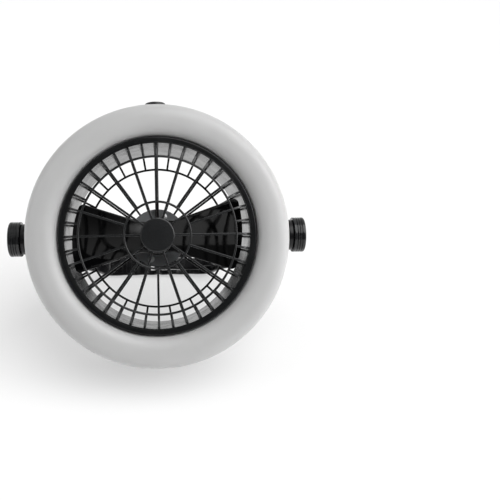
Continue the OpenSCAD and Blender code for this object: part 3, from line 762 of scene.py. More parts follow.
class Kit(Enum):
    """Every finish of the fan."""

    # Glossy injection-moulded ABS: near-black, deep, with softly rolling reflections.
    HOUSING = MouldedPlastic("glossy black ABS", "housing_black", "#161718", "#1a1b1d", 0.13,
                             1.52, wave_mm=18.0, wave_depth_mm=0.0015, swing=0.015)
    # Spark-eroded core of the duct's mould: satin, so that the wall looks even and grey.
    DUCT = MouldedPlastic("satin black ABS duct", "housing_black", "#0e0f10", "#121314", 0.20,
                          1.42, wave_mm=20.0, wave_depth_mm=0.003)
    # The same plastic from a slightly worn mould: satin on thin ribs.
    GRILLE = MouldedPlastic("satin black ABS grille", "grille_black", "#18191a", "#1d1e1f",
                            0.18, 1.50, wave_mm=6.0, wave_depth_mm=0.004)
    # Polished mould, thin glossy blades.
    BLADE = MouldedPlastic("polished black ABS blade", "grille_black", "#060607", "#0a0a0b",
                           0.07, 1.38, wave_mm=8.0, wave_depth_mm=0.02, swing=0.04)
    # Tough polypropylene: a little greyer and softer in its shine.
    STRAP = MouldedPlastic("black polypropylene strap", "strap_black", "#0e0e10", "#151517",
                           0.27, 1.40, wave_mm=7.0, wave_depth_mm=0.012, grain_mm=0.5,
                           grain_depth_mm=0.002)
    # Nylon rocker: dark and half matt.
    SWITCH = MouldedPlastic("black nylon switch", "switch_black", "#101112", "#171819", 0.3,
                            1.53, wave_mm=3.0, grain_mm=0.4, grain_depth_mm=0.002)
    # Unpolished inner moulding.
    TRAY = MouldedPlastic("matt black tray", "tray_black", "#17181a", "#202123", 0.5, 1.5,
                          grain_mm=0.5, grain_depth_mm=0.004)
    # Opal light cover: even satin white with a soft gleam at its edges.
    DIFFUSER = OpalAcrylic("opal acrylic diffuser", "diffuser_white", "#c3c3c3", "#c0c0c0",
                           0.34, 1.49, wave_mm=16.0, wave_depth_mm=0.006, grain_mm=0.6,
                           grain_depth_mm=0.001, patch_mm=40.0)
    # White moulding behind the light cover.
    REFLECTOR = MouldedPlastic("white polycarbonate reflector", "reflector_white", "#eceded",
                               "#e2e3e3", 0.35, 1.58)
    BOARD = CircuitLaminate("green circuit laminate", "board_green", "#1f5a3a", "#2f7a4c", 0.35)
    # Clear-yellow silicone over the chip.
    LED = MouldedPlastic("LED silicone", "led_resin", "#efe2a0", "#f4ecc4", 0.2, 1.41,
                         patch_mm=2.0)
    # Nickel-plated can with drawing lines.
    MOTOR = DrawnMetal("plated motor can", "motor_can", "#a9abad", "#9b9ea1", 0.28)
    # Grey-sprayed steel plate.
    PLATE = MouldedPlastic("grey coated plate", "plate_gray", "#989a9d", "#a0a2a5", 0.42, 1.5,
                           grain_mm=0.9, grain_depth_mm=0.006)
    SCREW = DrawnMetal("zinc-plated steel screw", "screw_steel", "#eceded", "#dcddde", 0.34,
                       line_mm=0.5, along=(1.0, 1.0, 1.0))
    SHAFT = DrawnMetal("ground steel shaft", "shaft_steel", "#c2c4c7", "#b4b6ba", 0.16)
    CONTACT = DrawnMetal("nickel-plated contact spring", "contact_nickel", "#c9c3b4",
                         "#b9b3a3", 0.22)
    CELL = BandedSleeve("cell shrink sleeve", "cell_wrap", "#b8813a", "#1c1c1e", 0.3, 1.54)
    # Red PVC lead insulation, its colour darkened to a near-black maroon: painted shade for the
    # leads that lie in the shade of the channel behind the top spoke.
    LEAD_WITH_PAINTED_SHADE = MouldedPlastic("lead insulation with painted shade", "lead_red", "#1a1111", "#160f0f", 0.45,
                          1.54)
    WASHER = MouldedPlastic("black acetal washer", "washer_acetal", "#161617", "#1d1d1f", 0.4,
                            1.48)


# --- housing ---


@dataclass
class Housing(Assembly):
    """Rear cover, front housing, battery door and air duct, and the cells inside."""

    duct_r: float = 66.0
    duct_wall: float = 2.0
    duct_back: float = 2.4
    seat: float = 1.0
    seat_front: float = 4.6
    seat_back: float = 3.2
    flange_r: float = 70.6
    flange_t: float = 2.5
    flange_z: float = 58.0
    screw_circle_r: float = 83.0
    screw_angle: float = 70.0
    screw_size: tuple = (2.7, 2.0, 0.75)  # a head's radius, height and width of the cross
    screw_face_z: float = 2.0
    wall_r: float = 93.0

    def build(self) -> None:
        """Builds the housing's pieces."""
        for node, name, body, edge in (
                ("rear_cover", "rear_cover_shell", self.body, 0.3),
                ("front_housing", "front_housing_shell", self.body, 0.25),
                ("battery_door", "battery_door_panel", "door", 0.25)):
            true_round(eased_copy(node, name, Kit.HOUSING, body, edge), self.place, self.wall_r)
        self.add("air_duct_wall", lathe(self.duct_profile(), 240, True), Kit.DUCT, "air_duct")
        self.add("cover_screw_heads", self.screw_heads(), Kit.SCREW, "cover_screws")
        dress(battery_tray=Kit.TRAY, battery_cells=Kit.CELL, battery_contacts=Kit.CONTACT)

    def duct_profile(self) -> Array:
        """The duct's wall with the flange round the grille at its front end.

        Returns:
            (n, 2) profile in mm.
        """
        out, top, seat = self.duct_r + self.duct_wall, self.flange_z, self.duct_r + self.seat
        front, back = top - self.seat_front, self.duct_back + self.seat_back
        return rounded([[seat, self.duct_back], [out, self.duct_back],
                        [out, top - self.flange_t], [self.flange_r, top - self.flange_t],
                        [self.flange_r, top], [seat, top], [seat, front], [self.duct_r, front],
                        [self.duct_r, back], [seat, back]],
                       [0.2, 0.2, 0.4, 0.4, 0.8, 0.2, 0.1, 0.1, 0.1, 0.1])

    def screw_heads(self) -> Patch:
        """Three heads, each turned over to face back at the bottom of its hole.

        Returns:
            Their surface in the fan's axes.
        """
        top = self.screw_face_z + self.screw_size[1]
        turned = screw_head(*self.screw_size).moved(self.screw_circle_r, 0, top, [1, -1, -1])
        return round_axis(turned, 3, self.screw_angle)


@dataclass
class RingLight(Assembly):
    """The diffuser's bead, and what lies under it."""

    in_r: float = 70.8
    out_r: float = 95.0
    deck_z: float = 47.0
    foot: float = 3.0
    height: float = 12.0
    wall: float = 1.8
    outer_inset: float = 0.3
    inner_inset: float = 0.1
    power: float = 2.5

    def build(self) -> None:
        """Builds the bead and dresses the parts below it."""
        self.add("diffuser_bead", lathe(self.profile(), 288, True), Kit.DIFFUSER, "diffuser")
        dress(reflector=Kit.REFLECTOR, led_board=Kit.BOARD, leds=Kit.LED)

    def bead(self, shrink: float, steps: int) -> Array:
        """A rounded bead, |x / w|^p + |y / h|^p = 1, from its outer foot to its inner one.

        Args:
            shrink: distance inside the outer surface in mm.
            steps: number of steps.

        Returns:
            (steps + 1, 2) profile in mm.
        """
        x, y = rays(pi * np.linspace(0, 1, steps + 1)).T
        w, h, n = (self.out_r - self.in_r) / 2 - shrink, self.height - shrink, 2 / self.power
        r = (self.out_r + self.in_r) / 2 + w * np.sign(x) * np.abs(x) ** n
        return np.stack([r, self.deck_z + self.foot + h * y.clip(0) ** n], -1)

    def profile(self) -> Array:
        """Outer bead and inner bead as one loop, with straight feet on the deck.

        Returns:
            (n, 2) closed profile in mm.
        """
        return np.concatenate([
            [[self.out_r - self.outer_inset, self.deck_z]], self.bead(0, 72),
            [[self.in_r + self.inner_inset, self.deck_z], [self.in_r + self.wall, self.deck_z]],
            self.bead(self.wall, 40)[::-1], [[self.out_r - self.wall, self.deck_z]]])


# --- grilles ---


@dataclass(frozen=True)
class Dome:
    """A domed grille: its rings, and the height of its surface above its rim."""

    ring_r: float
    ring_rise: float
    hub_rise: float
    rim_out_r: float = 66.85
    rim_w: float = 0.85
    rim_h: float = 3.0
    rib_w: float = 1.6
    rib_depth: float = 2.2
    rib_edge: float = 0.35
    hoop_extra: float = 0.3
    hoop_edge: float = 0.7
    hoop_proud: float = 0.05
    sink: float = 0.5

    def rise(self, r: Any) -> Any:
        """Height inside the large ring: hub_rise - (hub_rise - ring_rise) (r / ring_r)^2."""
        return self.hub_rise - (self.hub_rise - self.ring_rise) * (r / self.ring_r) ** 2

    def spoke(self, in_r: float, out_r: float | None, steps: int = 10) -> Patch:
        """A spoke with rounded edges, along X.

        Its top follows the bowl to the large ring and then a quarter of an ellipse down to
        the rim; its lower face does the same a rib's depth below. Each section is a rounded
        rectangle between the two.

        Args:
            in_r: where it starts.
            out_r: where it ends inside the large ring, or None for one that reaches the rim.
            steps: number of steps inside the large ring.

        Returns:
            The spoke's surface in the dome's axes.
        """
        outer_only = in_r >= self.ring_r
        r = np.linspace(in_r, self.ring_r if out_r is None else out_r, steps + 1)
        top = np.stack([r, self.rise(r)], -1)[:0 if outer_only else None]
        low = top - [0, self.rib_depth]
        if out_r is None:
            quarter = rays(radians(90) * np.linspace(1, 0, 15)[0 if outer_only else 1:])
            size = np.array([self.rim_out_r - self.sink - self.ring_r, self.ring_rise])
            start = [self.ring_r, 0]
            top = np.concatenate([top, start + size * quarter])
            low = np.concatenate([low, start + (size - self.rib_depth) * quarter])
        flat = np.array([[1, 0, 0], [0, 0, 1]])
        middle, half = (top + low) / 2 @ flat, (top - low) / 2 @ flat
        across = np.broadcast_to([0.0, 1.0, 0.0], middle.shape)
        section = slab(self.rib_w, self.rib_depth, self.rib_edge, 3) * [1, 2 / self.rib_depth]
        return sweep(middle, across, half, section)

    def hoop(self, r: float, z: float) -> Patch:
        """A ring of the grille, a little proud of the spokes."""
        section = slab(self.rib_w, self.rib_depth + self.hoop_extra, self.hoop_edge, 5)
        return lathe(section + [r, z - self.rib_depth / 2 + self.hoop_proud], 240, True)

    def rim(self, top: float) -> Patch:
        """The rim that the spokes end in, up to a height; it lies in the duct's seat."""
        return tube(self.rim_out_r - self.rim_w, self.rim_out_r, -self.rim_h / 2, top, 0.15,
                    240, 3)

    def wires(self, in_r: float, count: int, rim_top: float) -> list:
        """What both grilles have: rim, long and short spokes and the large hoop.

        Args:
            in_r: where the long spokes start.
            count: number of long spokes, and of short ones outside the large hoop.
            rim_top: height of the rim's upper edge.

        Returns:
            Their surfaces in the dome's axes.
        """
        return [self.rim(rim_top), round_axis(self.spoke(in_r, None), count, 90),
                round_axis(self.spoke(self.ring_r, None), count, 90 + 180 / count),
                self.hoop(self.ring_r, self.ring_rise)]


@dataclass
class Grilles(Assembly):
    """Front grille with its cap, and rear grille with the disc that carries the motor."""

    spokes: int = 20
    front: Dome = field(default_factory=lambda: Dome(55.5, 9.5, 11.0))
    rear: Dome = field(default_factory=lambda: Dome(54.5, 4.5, 8.0))
    front_rim_z: float = 55.0
    rear_rim_z: float = 4.0
    small_ring_r: float = 23.4
    cap_r: float = 12.1
    cap_t: float = 2.4
    cap_edge: float = 0.85
    cap_crown: float = 0.3
    cap_crown_r: float = 11.2
    under_cap: float = 4.0
    plate_inset: float = 1.5
    front_rim_top: float = 2.8
    disc_r: float = 23.0
    channel_w: float = 2.6
    channel_low: float = -1.177
    channel_top: float = 5.5

    def build(self) -> None:
        """Builds both grilles and the cap."""
        self.add("front_grille_wires", self.front_wires(), Kit.GRILLE, "front_grille")
        self.add("hub_cap_disc", self.cap(), Kit.GRILLE, "hub_cap")
        self.add("rear_grille_wires", self.rear_wires(), Kit.GRILLE, "rear_grille")

    def front_wires(self) -> Patch:
        """The wires, short inner spokes, the small hoop and the hub's plate.

        Returns:
            Their surface in the fan's axes.
        """
        dome, hub = self.front, self.front.rise(0.0)
        return joined(
            *dome.wires(self.small_ring_r, self.spokes, self.front_rim_top),
            round_axis(dome.spoke(self.cap_r - self.under_cap, self.small_ring_r, 4),
                       self.spokes // 2, 90 + 360 / self.spokes),
            dome.hoop(self.small_ring_r, dome.rise(self.small_ring_r)),
            disc(self.cap_r - self.plate_inset, hub - dome.rib_depth, hub, 0.4, 96)
        ).moved(0, 0, self.front_rim_z)

    def cap(self) -> Patch:
        """The bare cap: a low dome with a rounded edge.

        Returns:
            Its surface in the fan's axes.
        """
        r = np.linspace(0, self.cap_crown_r, 9)
        dome = np.stack([r, self.cap_t + self.cap_crown * (1 - (r / self.cap_r) ** 2)], -1)[::-1]
        edge = rounded([[0, 0], [self.cap_r, 0], [self.cap_r, self.cap_t], [0, self.cap_t]],
                       [0, 0.2, self.cap_edge, 0], 6, True)[:-2]
        return lathe(np.concatenate([edge, dome]), 144, False).moved(
            0, 0, self.front_rim_z + self.front.rise(0.0))

    def rear_wires(self) -> Patch:
        """The same build turned backwards, with the disc and the channel for the leads.

        Returns:
            Their surface in the fan's axes.
        """
        dome, r, top = self.rear, self.disc_r, self.rear.rise(self.disc_r)
        backwards = joined(
            *dome.wires(r - 1, self.spokes, dome.rim_h / 2),
            disc(r, top - dome.rib_depth, top, [0, 0.3, 0.9, 0], 144)
        ).moved(0, 0, self.rear_rim_z, [1, 1, -1])
        y = np.array([r - 0.4, dome.rim_out_r - dome.rim_w - 0.15])
        middle = np.stack([0 * y, y, 0 * y + (self.channel_low + self.channel_top) / 2], -1)
        x_axis, z_axis = np.array([[[1.0, 0, 0]] * 2, [[0, 0, 1.0]] * 2])
        return joined(backwards, sweep(middle, x_axis, z_axis, slab(
            self.channel_w, self.channel_top - self.channel_low, 0.4)))


# --- motor and rotor ---


@dataclass
class Drive(Assembly):
    """Motor, its plate, sleeve, screws and leads, and the rotor on its shaft."""

    plate_z: float = -1.177
    plate_t: float = 1.5
    plate_r: float = 22.5
    motor_r: float = 12.0
    motor_len: float = 24.0
    motor_step: float = 1.5
    boss_r: float = 4.0
    bore_r: float = 1.05
    bore_depth: float = 3.0
    sleeve_gap: float = 0.1
    sleeve_t: float = 1.9
    sleeve_len: float = 20.0
    screw_size: tuple = (2.7, 1.6, 0.7)  # a head's radius, height and width of the cross
    screw_at: float = 17.5
    screw_turn: float = 72.0
    rotor_z: float = 35.0
    hub_r: float = 12.5
    hub_h: float = 15.0
    hub_wall: float = 2.0
    hub_top: float = 3.0
    root_x: float = 4.0
    tip_r: float = 63.2
    root_half_w: float = 11.5
    tip_half_w: float = 25.5
    corner_r: float = 8.0
    blade_t: float = 1.6
    edge_mm: float = 0.9
    pitch: float = 24.0
    camber_r: float = 70.0

    def build(self) -> None:
        """Builds the motor's pieces and the rotor."""
        on_plate = self.place.moved(0, 0, self.plate_z + self.plate_t)
        self.add("motor_plate_disc", disc(self.plate_r, -self.plate_t, 0, 0.35, 144),
                 Kit.PLATE, "motor_plate", on_plate)
        r, top, bore, boss = self.motor_r, self.motor_len, self.bore_r, self.boss_r
        sleeve = tube(r + self.sleeve_gap, r + self.sleeve_t, 0, self.sleeve_len,
                      [0.1, 0.2, 0.5, 0.3], 144)
        self.add("motor_sleeve_tube", sleeve, Kit.GRILLE, "motor_sleeve", on_plate)
        step, floor = top - self.motor_step, top - self.bore_depth
        can = rounded([[0, 0], [r, 0], [r, step], [boss, step], [boss, top], [bore, top],
                       [bore, floor], [0, floor]],
                      [0, 0.8, 1.4, 0.3, 0.5, 0.1, 0.1, 0], open_ends=True)
        self.add("motor_can", lathe(can, 96, False), Kit.MOTOR, "motor", on_plate)
        head = screw_head(*self.screw_size).moved(self.screw_at, 0, 0)
        self.add("motor_screw_heads", round_axis(head, 2, self.screw_turn), Kit.SCREW,
                 "motor_screws", on_plate)
        dress(motor_leads=Kit.LEAD_WITH_PAINTED_SHADE, motor_shaft=Kit.SHAFT)
        self.add("fan_rotor_blades", self.rotor(), Kit.BLADE, "fan_rotor",
                 self.place.moved(0, 0, self.rotor_z), "rotor")

    def rotor(self) -> Patch:
        """The hollow hub with a rounded crown, and two blades.

        Returns:
            Its surface about the rotor's own middle.
        """
        r, h = self.hub_r, self.hub_h / 2
        inner, floor = r - self.hub_wall, h - self.hub_top
        hub = rounded([[0, floor], [inner, floor], [inner, -h], [r, -h], [r, h], [0, h]],
                      [0, 0.8, 0.2, 0.2, 2.0, 0], 7, True)
        return joined(lathe(hub, 144, False), round_axis(self.blade(), 2))

    def outline(self, count: int) -> Array:
        """The blade's outline seen from the front: root, upper edge, tip and lower edge.

        The tip is an arc of the tip circle, and the outer corners are arcs of corner_r.
        Each side has count steps, spread evenly by length.

        Args:
            count: number of steps along each side.

        Returns:
            (4, count + 1, 2) array of the sides' points in mm.
        """
        c, w, root = self.corner_r, self.tip_half_w, self.root_half_w
        corner = np.array([sqrt(self.tip_r ** 2 - w ** 2) - c / 2, w - c])
        arc = corner + c * rays(np.radians(np.linspace(80, 10, 24)))
        arc = arc[np.linalg.norm(arc, axis=1) < self.tip_r]
        tip = self.tip_r * rays(np.linspace(atan2(arc[-1, 1], arc[-1, 0]), 0, 30)[1:])
        split = len(arc) // 2
        upper = np.concatenate([[[self.root_x, root], [self.hub_r, root]], arc[:split + 1]])
        outer = np.concatenate([arc[split:], tip])
        outer = np.concatenate([outer, outer[-2::-1] * [1, -1]])
        inner = np.array([[self.root_x, -root], [self.root_x, root]])
        even = np.linspace(0, 1, count + 1)
        return np.stack([sampled(side, lengths(side), even * lengths(side)[-1])
                         for side in (inner, upper, outer, (upper * [1, -1])[::-1])])

    def blade(self, count: int = 34) -> Patch:
        """One blade along X, a thin shell closed round its edge.

        Inside the outline, positions are a Coons patch: the mean of the two ways of drawing
        a line between opposite sides, less the mean of the corners. The half thickness is
        t / 2 sqrt(1 - (1 - d / e)^2) up to a distance d = e from the outline, so the edge is
        round. The blade's middle surface is part of a tube about an axis along X that lies
        camber_r away, turned by the pitch: z = R cos p - sqrt(R^2 - (y + R sin p)^2).

        Args:
            count: number of steps along each side of the outline.

        Returns:
            Its two faces as one surface.
        """
        root, upper, outer, lower = self.outline(count)
        even = np.linspace(0, 1, count + 1)
        s = 0.25 * even + 0.75 * (0.5 - 0.5 * np.cos(pi * even))  # closer near both ends
        left, right, low, high = (sampled(side, np.arange(count + 1), s * count)
                                  for side in (root, outer[::-1], lower[::-1], upper))
        a, b = s[:, None, None], s[None, :, None]
        plan = ((1 - a) * left[None] + a * right[None] + (1 - b) * low[:, None] + b * high[:, None]
                - (1 - a) * (1 - b) * low[0] - (1 - a) * b * high[0]
                - a * (1 - b) * low[-1] - a * b * high[-1])
        rim = np.concatenate([low, right, high])
        gap = np.sqrt(((plan[:, :, None] - rim[None, None]) ** 2).sum(-1)).min(-1)
        half = self.blade_t / 2 * np.sqrt(1 - (1 - np.clip(gap / self.edge_mm, 0, 1)) ** 2)
        p, big = radians(self.pitch), self.camber_r
        x, y = plan[..., 0], plan[..., 1]
        z = big * cos(p) - np.sqrt(big ** 2 - (y + big * sin(p)) ** 2)
        normal = np.stack([0 * y, -(y + big * sin(p)), big * cos(p) - z], -1) / big
        middle = np.stack([x, y, z], -1)
        faces = grid_faces(len(s), len(s), False, False)
        return joined(*(Patch((middle + side * half[..., None] * normal).reshape(-1, 3), faces)
                        for side in (1, -1)))


# --- switch ---


@dataclass
class Switch(Assembly):
    """The round rocker in its collar on top of the housing."""

    axis_y: float = 94.0
    switch_z: float = 32.0
    rocker_r: float = 7.6
    rocker_top: float = 7.0
    skirt: float = 2.0
    crown: float = 1.0
    collar_r: float = 9.3
    collar_wall: float = 1.0
    collar_floor: float = 1.5
    cup_depth: float = 6.0
    collar_h: float = 8.4
    crown_turn: float = 0.62  # where the crown bends, as a share of the radius
    crown_rise: float = 0.65
    grip_lines: int = 32
    grip_depth: float = 0.16
    grip_from: float = 0.4
    grip_short: float = 0.9
    grip_soft: float = 0.6

    def build(self) -> None:
        """Builds collar and rocker, and dresses the switch below them."""
        out = self.place.moved(0, self.axis_y, self.switch_z).turned((1, 0, 0), (0, 0, -1),
                                                                     (0, 1, 0))
        inner, top, floor = self.collar_r - self.collar_wall, self.collar_h, self.collar_floor
        cup = rounded([[0, 0], [self.collar_r, 0], [self.collar_r, top], [inner, top],
                       [inner, floor], [0, floor]], [0, 0.3, 0.4, 0.3, 0.3, 0], open_ends=True)
        self.add("switch_collar_ring", lathe(cup - [0, self.cup_depth], 96, False), Kit.SWITCH,
                 "switch_collar", out)
        self.add("switch_rocker_button", self.rocker(), Kit.SWITCH, "switch_rocker", out,
                 "rocker")
        dress(switch_body=Kit.TRAY, circuit_board=Kit.BOARD)

    def rocker(self) -> Patch:
        """A domed button whose side has shallow grip lines.

        The radius of the side is less by grip_depth (1 - cos(n a)) / 2 from grip_from up to
        grip_short below its shoulder, with soft ends grip_soft long.

        Returns:
            Its surface in the switch's axes.
        """
        r, shoulder, steps = self.rocker_r, self.rocker_top - self.crown, self.grip_lines * 8
        profile = rounded([[0, -self.skirt], [r, -self.skirt], [r, shoulder],
                           [r * self.crown_turn, shoulder + self.crown_rise],
                           [0, self.rocker_top]],
                          [0, 0.3, 0.7, 3.0, 0], 6, True)
        patch = lathe(profile, steps, False)
        a = 2 * pi * np.arange(steps) / steps
        z = profile[:, 1:]
        side = (np.clip((z - self.grip_from) / self.grip_soft, 0, 1)
                * np.clip((shoulder - self.grip_short - z) / self.grip_soft, 0, 1)
                * (profile[:, :1] > r - 0.1))
        scale = 1 - 0.5 * self.grip_depth / r * side * (1 - np.cos(self.grip_lines * a))
        patch.points[:, :2] *= scale.reshape(-1, 1)
        return patch


# --- handle ---


@dataclass
class Bail(Assembly):
    """The strap handle with its knobs, its hook and the hook's pin."""

    body: str = "bail"
    fan: Place = field(kw_only=True)
    pivot_z: float = 23.0
    body_r: float = 95.0
    seat_r: float = 91.6
    length: float = 112.0
    strap_w: float = 20.0
    strap_t: float = 3.8
    grip_half: float = 41.0
    wave_len: float = 15.5
    wave_h: float = 0.9
    wave_start: float = 6.0
    neck_slope: float = 72.0
    neck_len: float = 12.0
    arm_slope: float = 53.0
    shoulder_r: float = 8.0
    elbow_r: float = 18.0
    hip_r: float = 15.0
    eye_r: float = 11.5
    flange_r: float = 14.2
    flange_t: float = 3.0
    cap_r: float = 13.2
    cap_len: float = 8.7
    well_r: float = 8.5
    well_depth: float = 3.2
    grooves: int = 3
    groove_depth: float = 0.7
    groove_w: float = 1.1
    groove_slope: float = 0.25
    end_rim: float = 2.6
    end_slope: float = 0.3
    end_sink: float = 0.35
    stub_r: float = 5.0
    spigot_r: float = 5.5
    spigot_len: float = 7.4
    strap_in: float = 98.7
    slot_w: float = 11.6
    slot_start: float = 6.7
    slot_end_y: float = 87.0
    overlap: float = 0.4
    eye_gap: float = 0.05
    eye_proud: float = 0.04
    step_len: float = 0.6
    pin_r: float = 1.8
    pin_proud: float = 0.6
    boss_r: float = 3.4
    hook_w: float = 10.6
    hook_t: float = 3.5
    hook_reach: float = 56.0
    throat_r: float = 7.0
    lean: float = 2.4
    turn: float = 195.0
    tip: float = 4.0
    blunt: float = 1.4

    def build(self) -> None:
        """Builds the strap, its knobs and the hook."""
        self.add("handle_strap", self.strap(), Kit.STRAP, "handle")
        self.add("hook_wire", self.hook(), Kit.STRAP, "hook", body="hook")
        self.add("hook_pin_rod", self.pin(), Kit.SCREW, "hook_pin")
        pivot = self.fan.moved(0, 0, self.pivot_z)
        for side, word in ((-1, "left"), (1, "right")):
            out, root = (place.turned((0, 1, 0), (0, 0, side), (side, 0, 0))
                         for place in (self.place, pivot))
            self.add(f"{word}_knob_grip", lathe(self.cap_profile(), 192, False), Kit.HOUSING,
                     f"{word}_knob_cap", out.moved(0, 0, self.strap_in + self.strap_t))
            self.add(f"{word}_knob_base", lathe(self.flange_profile(), 144, False),
                     Kit.HOUSING, f"{word}_knob_flange", root, "fan_housing")
        dress(friction_washers=Kit.WASHER, pivot_screws=Kit.SCREW)

    def cap_profile(self) -> Array:
        """The knob's cap: hollow behind, three finger grooves, a flat end with a fine step.

        Returns:
            (n, 2) profile in mm.
        """
        r, h, inner, well = self.cap_r, self.cap_len, self.well_r, self.well_depth
        corners, radii = [[0, well], [inner, well], [inner, 0], [r, 0]], [0, 0.3, 0.3, 0.5]
        low, flat = r - self.groove_depth, self.groove_w - self.groove_slope
        for z in h / (self.grooves + 2) * np.arange(1, self.grooves + 1):
            corners += [[r, z], [low, z + self.groove_slope], [low, z + flat],
                        [r, z + self.groove_w]]
            radii += [0.25, 0.12, 0.12, 0.25]
        rim, end = r - self.end_rim, h - self.end_sink
        corners += [[r, h], [rim, h], [rim - self.end_slope, end], [0, end]]
        return rounded(corners, radii + [1.5, 0.12, 0.12, 0], 4, True, 0.12)

    def flange_profile(self) -> Array:
        """The base between housing and strap, with its stub and its spigot.

        Returns:
            (n, 2) profile in mm.
        """
        face, end = self.body_r + self.flange_t, self.strap_in + self.strap_t + 0.1
        low, seat, spigot = self.body_r - self.spigot_len, self.seat_r, self.spigot_r
        return rounded([[0, low], [spigot, low], [spigot, seat], [self.flange_r, seat],
                        [self.flange_r, face], [self.stub_r, face], [self.stub_r, end],
                        [0, end]], [0, 0.4, 0.1, 0.1, 0.7, 0.2, 0.4, 0], 5, True)

    def grip_y(self, x: Array) -> Array:
        """Middle line of the grip: length - wave_h (1 - cos(2 pi (x - start) / wave_len)).

        Args:
            x: distances from the handle's middle in mm.

        Returns:
            Distances from the pivots in mm.
        """
        wave = self.wave_h * (1 - np.cos(2 * pi * (x - self.wave_start) / self.wave_len))
        inside = (x > self.wave_start) & (x < self.wave_start + 2 * self.wave_len)
        return self.length - wave * inside

    @property
    def pin_y(self) -> float:
        """Distance of the hook's pin from the pivots."""
        return self.length + self.strap_t / 2 - self.boss_r

    def half_line(self) -> tuple:
        """Middle line of the right half of the strap, and its outward directions.

        Grip with its waves, an arc over the shoulder, a straight neck, an arc at the elbow
        whose centre lies outside, a straight arm, an arc at the hip and a straight end.

        Returns:
            Two (n, 2) arrays, in the plane of the handle.
        """
        neck, arm = radians(self.neck_slope), radians(self.arm_slope)
        neck_out, arm_out = np.array([[sin(neck), cos(neck)], [sin(arm), cos(arm)]])
        end_x = self.strap_in + self.strap_t / 2
        reach = (end_x - self.grip_half - self.shoulder_r * sin(neck) - self.neck_len * cos(neck)
                 - self.elbow_r * (sin(neck) - sin(arm)) - self.hip_r * (1 - sin(arm))) / cos(arm)
        x = np.linspace(0, self.wave_start + 2 * self.wave_len, 300)
        y = self.grip_y(x)
        shoulder = np.array([self.grip_half, self.length - self.shoulder_r])
        elbow = (shoulder + (self.shoulder_r + self.elbow_r) * neck_out
                 + self.neck_len * neck_out[::-1] * [1, -1])
        hip = (elbow - (self.elbow_r + self.hip_r) * arm_out
               + reach * arm_out[::-1] * [1, -1])
        line, outs = [np.stack([x, y], -1)], [normals(np.gradient(y, x))]
        for centre, r, start, stop, side in (
                (shoulder, self.shoulder_r, pi / 2, pi / 2 - neck, 1),
                (elbow, self.elbow_r, 1.5 * pi - neck, 1.5 * pi - arm, -1),
                (hip, self.hip_r, pi / 2 - arm, 0, 1)):
            ray = rays(np.linspace(start, stop, 40))
            line.append(centre + r * ray)
            outs.append(side * ray)
        return (np.concatenate(line + [[[end_x, 0.0]]]),
                np.concatenate(outs + [[[1.0, 0.0]]]))

    @staticmethod
    def swept(line: Array, outs: Array, inner: Array, outer: Array, z: float,
              size: tuple) -> Patch:
        """A bar along a line in the handle's plane.

        Args:
            line, outs: (n, 2) line and its outward directions.
            inner, outer: how far the two faces lie inside and outside the line.
            z: place across the strap.
            size: width of the bar, its depth where it is plain, and its edges' rounding.

        Returns:
            The bar's surface in the handle's axes.
        """
        section = slab(*size) * [1, 2 / size[1]]
        middle = line + outs * ((outer - inner) / 2)[:, None]
        path = np.column_stack([middle, np.full(len(line), z)])
        through = np.column_stack([outs * ((outer + inner) / 2)[:, None], np.zeros(len(line))])
        return sweep(path, np.broadcast_to([0.0, 0.0, 1.0], path.shape), through, section)

    def run(self, line: Array, outs: Array, start: float, stop: float, z: float,
            width: float, corner: float) -> Patch:
        """A stretch of the strap, between two lengths along its middle line.

        A rail's inner face bulges round the pin.

        Args:
            line, outs: the strap's middle line and its outward directions.
            start, stop: where the stretch starts and ends, in mm from the left end.
            z, width: its middle across the strap, and its width.
            corner: rounding of its edges.

        Returns:
            Its surface in the handle's axes.
        """
        s = lengths(line)
        at = np.linspace(start, stop, max(3, int((stop - start) / self.step_len)))
        middle, out = sampled(line, s, at), sampled(outs, s, at)
        out /= np.linalg.norm(out, axis=1, keepdims=True)
        outer = np.full(len(at), self.strap_t / 2)
        inner = self.inner_reach(middle[:, 0]) if width < self.strap_w else outer
        return self.swept(middle, out, inner, outer, z, (width, self.strap_t, corner))

    def inner_reach(self, x: Array) -> Array:
        """How far the inner face lies from the middle line: a soft maximum of t / 2 and the
        circle of boss_r about the pin, log(e^(k a) + e^(k b)) / k.

        Args:
            x: distances from the handle's middle in mm.

        Returns:
            Distances from the middle line in mm.
        """
        offset, k = self.length - self.pin_y, 4.0
        circle = offset + np.sqrt(np.clip(self.boss_r ** 2 - x ** 2, 0, None))
        circle = np.where(np.abs(x) < self.boss_r, circle,
                          offset - 1.5 * (np.abs(x) - self.boss_r))
        return np.log(np.exp(k * self.strap_t / 2) + np.exp(k * np.minimum(circle, 6))) / k

    def strap(self) -> Patch:
        """The whole strap: solid left part, two rails beside the slot, solid right arm, eyes.

        Returns:
            Its surface in the handle's axes.
        """
        line, outs = self.half_line()
        length = lengths(line)
        half = length[-1]
        whole = np.concatenate([(line * [-1, 1])[::-1], line[1:]])
        sides = np.concatenate([(outs * [-1, 1])[::-1], outs[1:]])
        slot_from = half - self.slot_start
        i = int(np.argmax(line[:, 1] < self.slot_end_y))
        part = (line[i - 1, 1] - self.slot_end_y) / (line[i - 1, 1] - line[i, 1])
        slot_to = half + length[i - 1] + part * (length[i] - length[i - 1])
        rail = (self.strap_w - self.slot_w) / 2
        eye = tube(self.stub_r + self.eye_gap, self.eye_r, self.strap_in - self.eye_proud,
                   self.strap_in + self.strap_t + self.eye_proud, [0.2, 0.9, 0.9, 0.2], 120)
        eyes = [Patch(eye.points[:, [2, 0, 1]] * [side, 1, 1], eye.faces) for side in (-1, 1)]
        solid = [self.run(whole, sides, *span, 0.0, self.strap_w, 1.15)
                 for span in ((0.0, slot_from), (slot_to, 2 * half))]
        rails = [self.run(whole, sides, slot_from - self.overlap, slot_to + self.overlap,
                          side * (self.strap_w - rail) / 2, rail, 0.95) for side in (-1, 1)]
        return joined(*solid, *rails, *eyes)

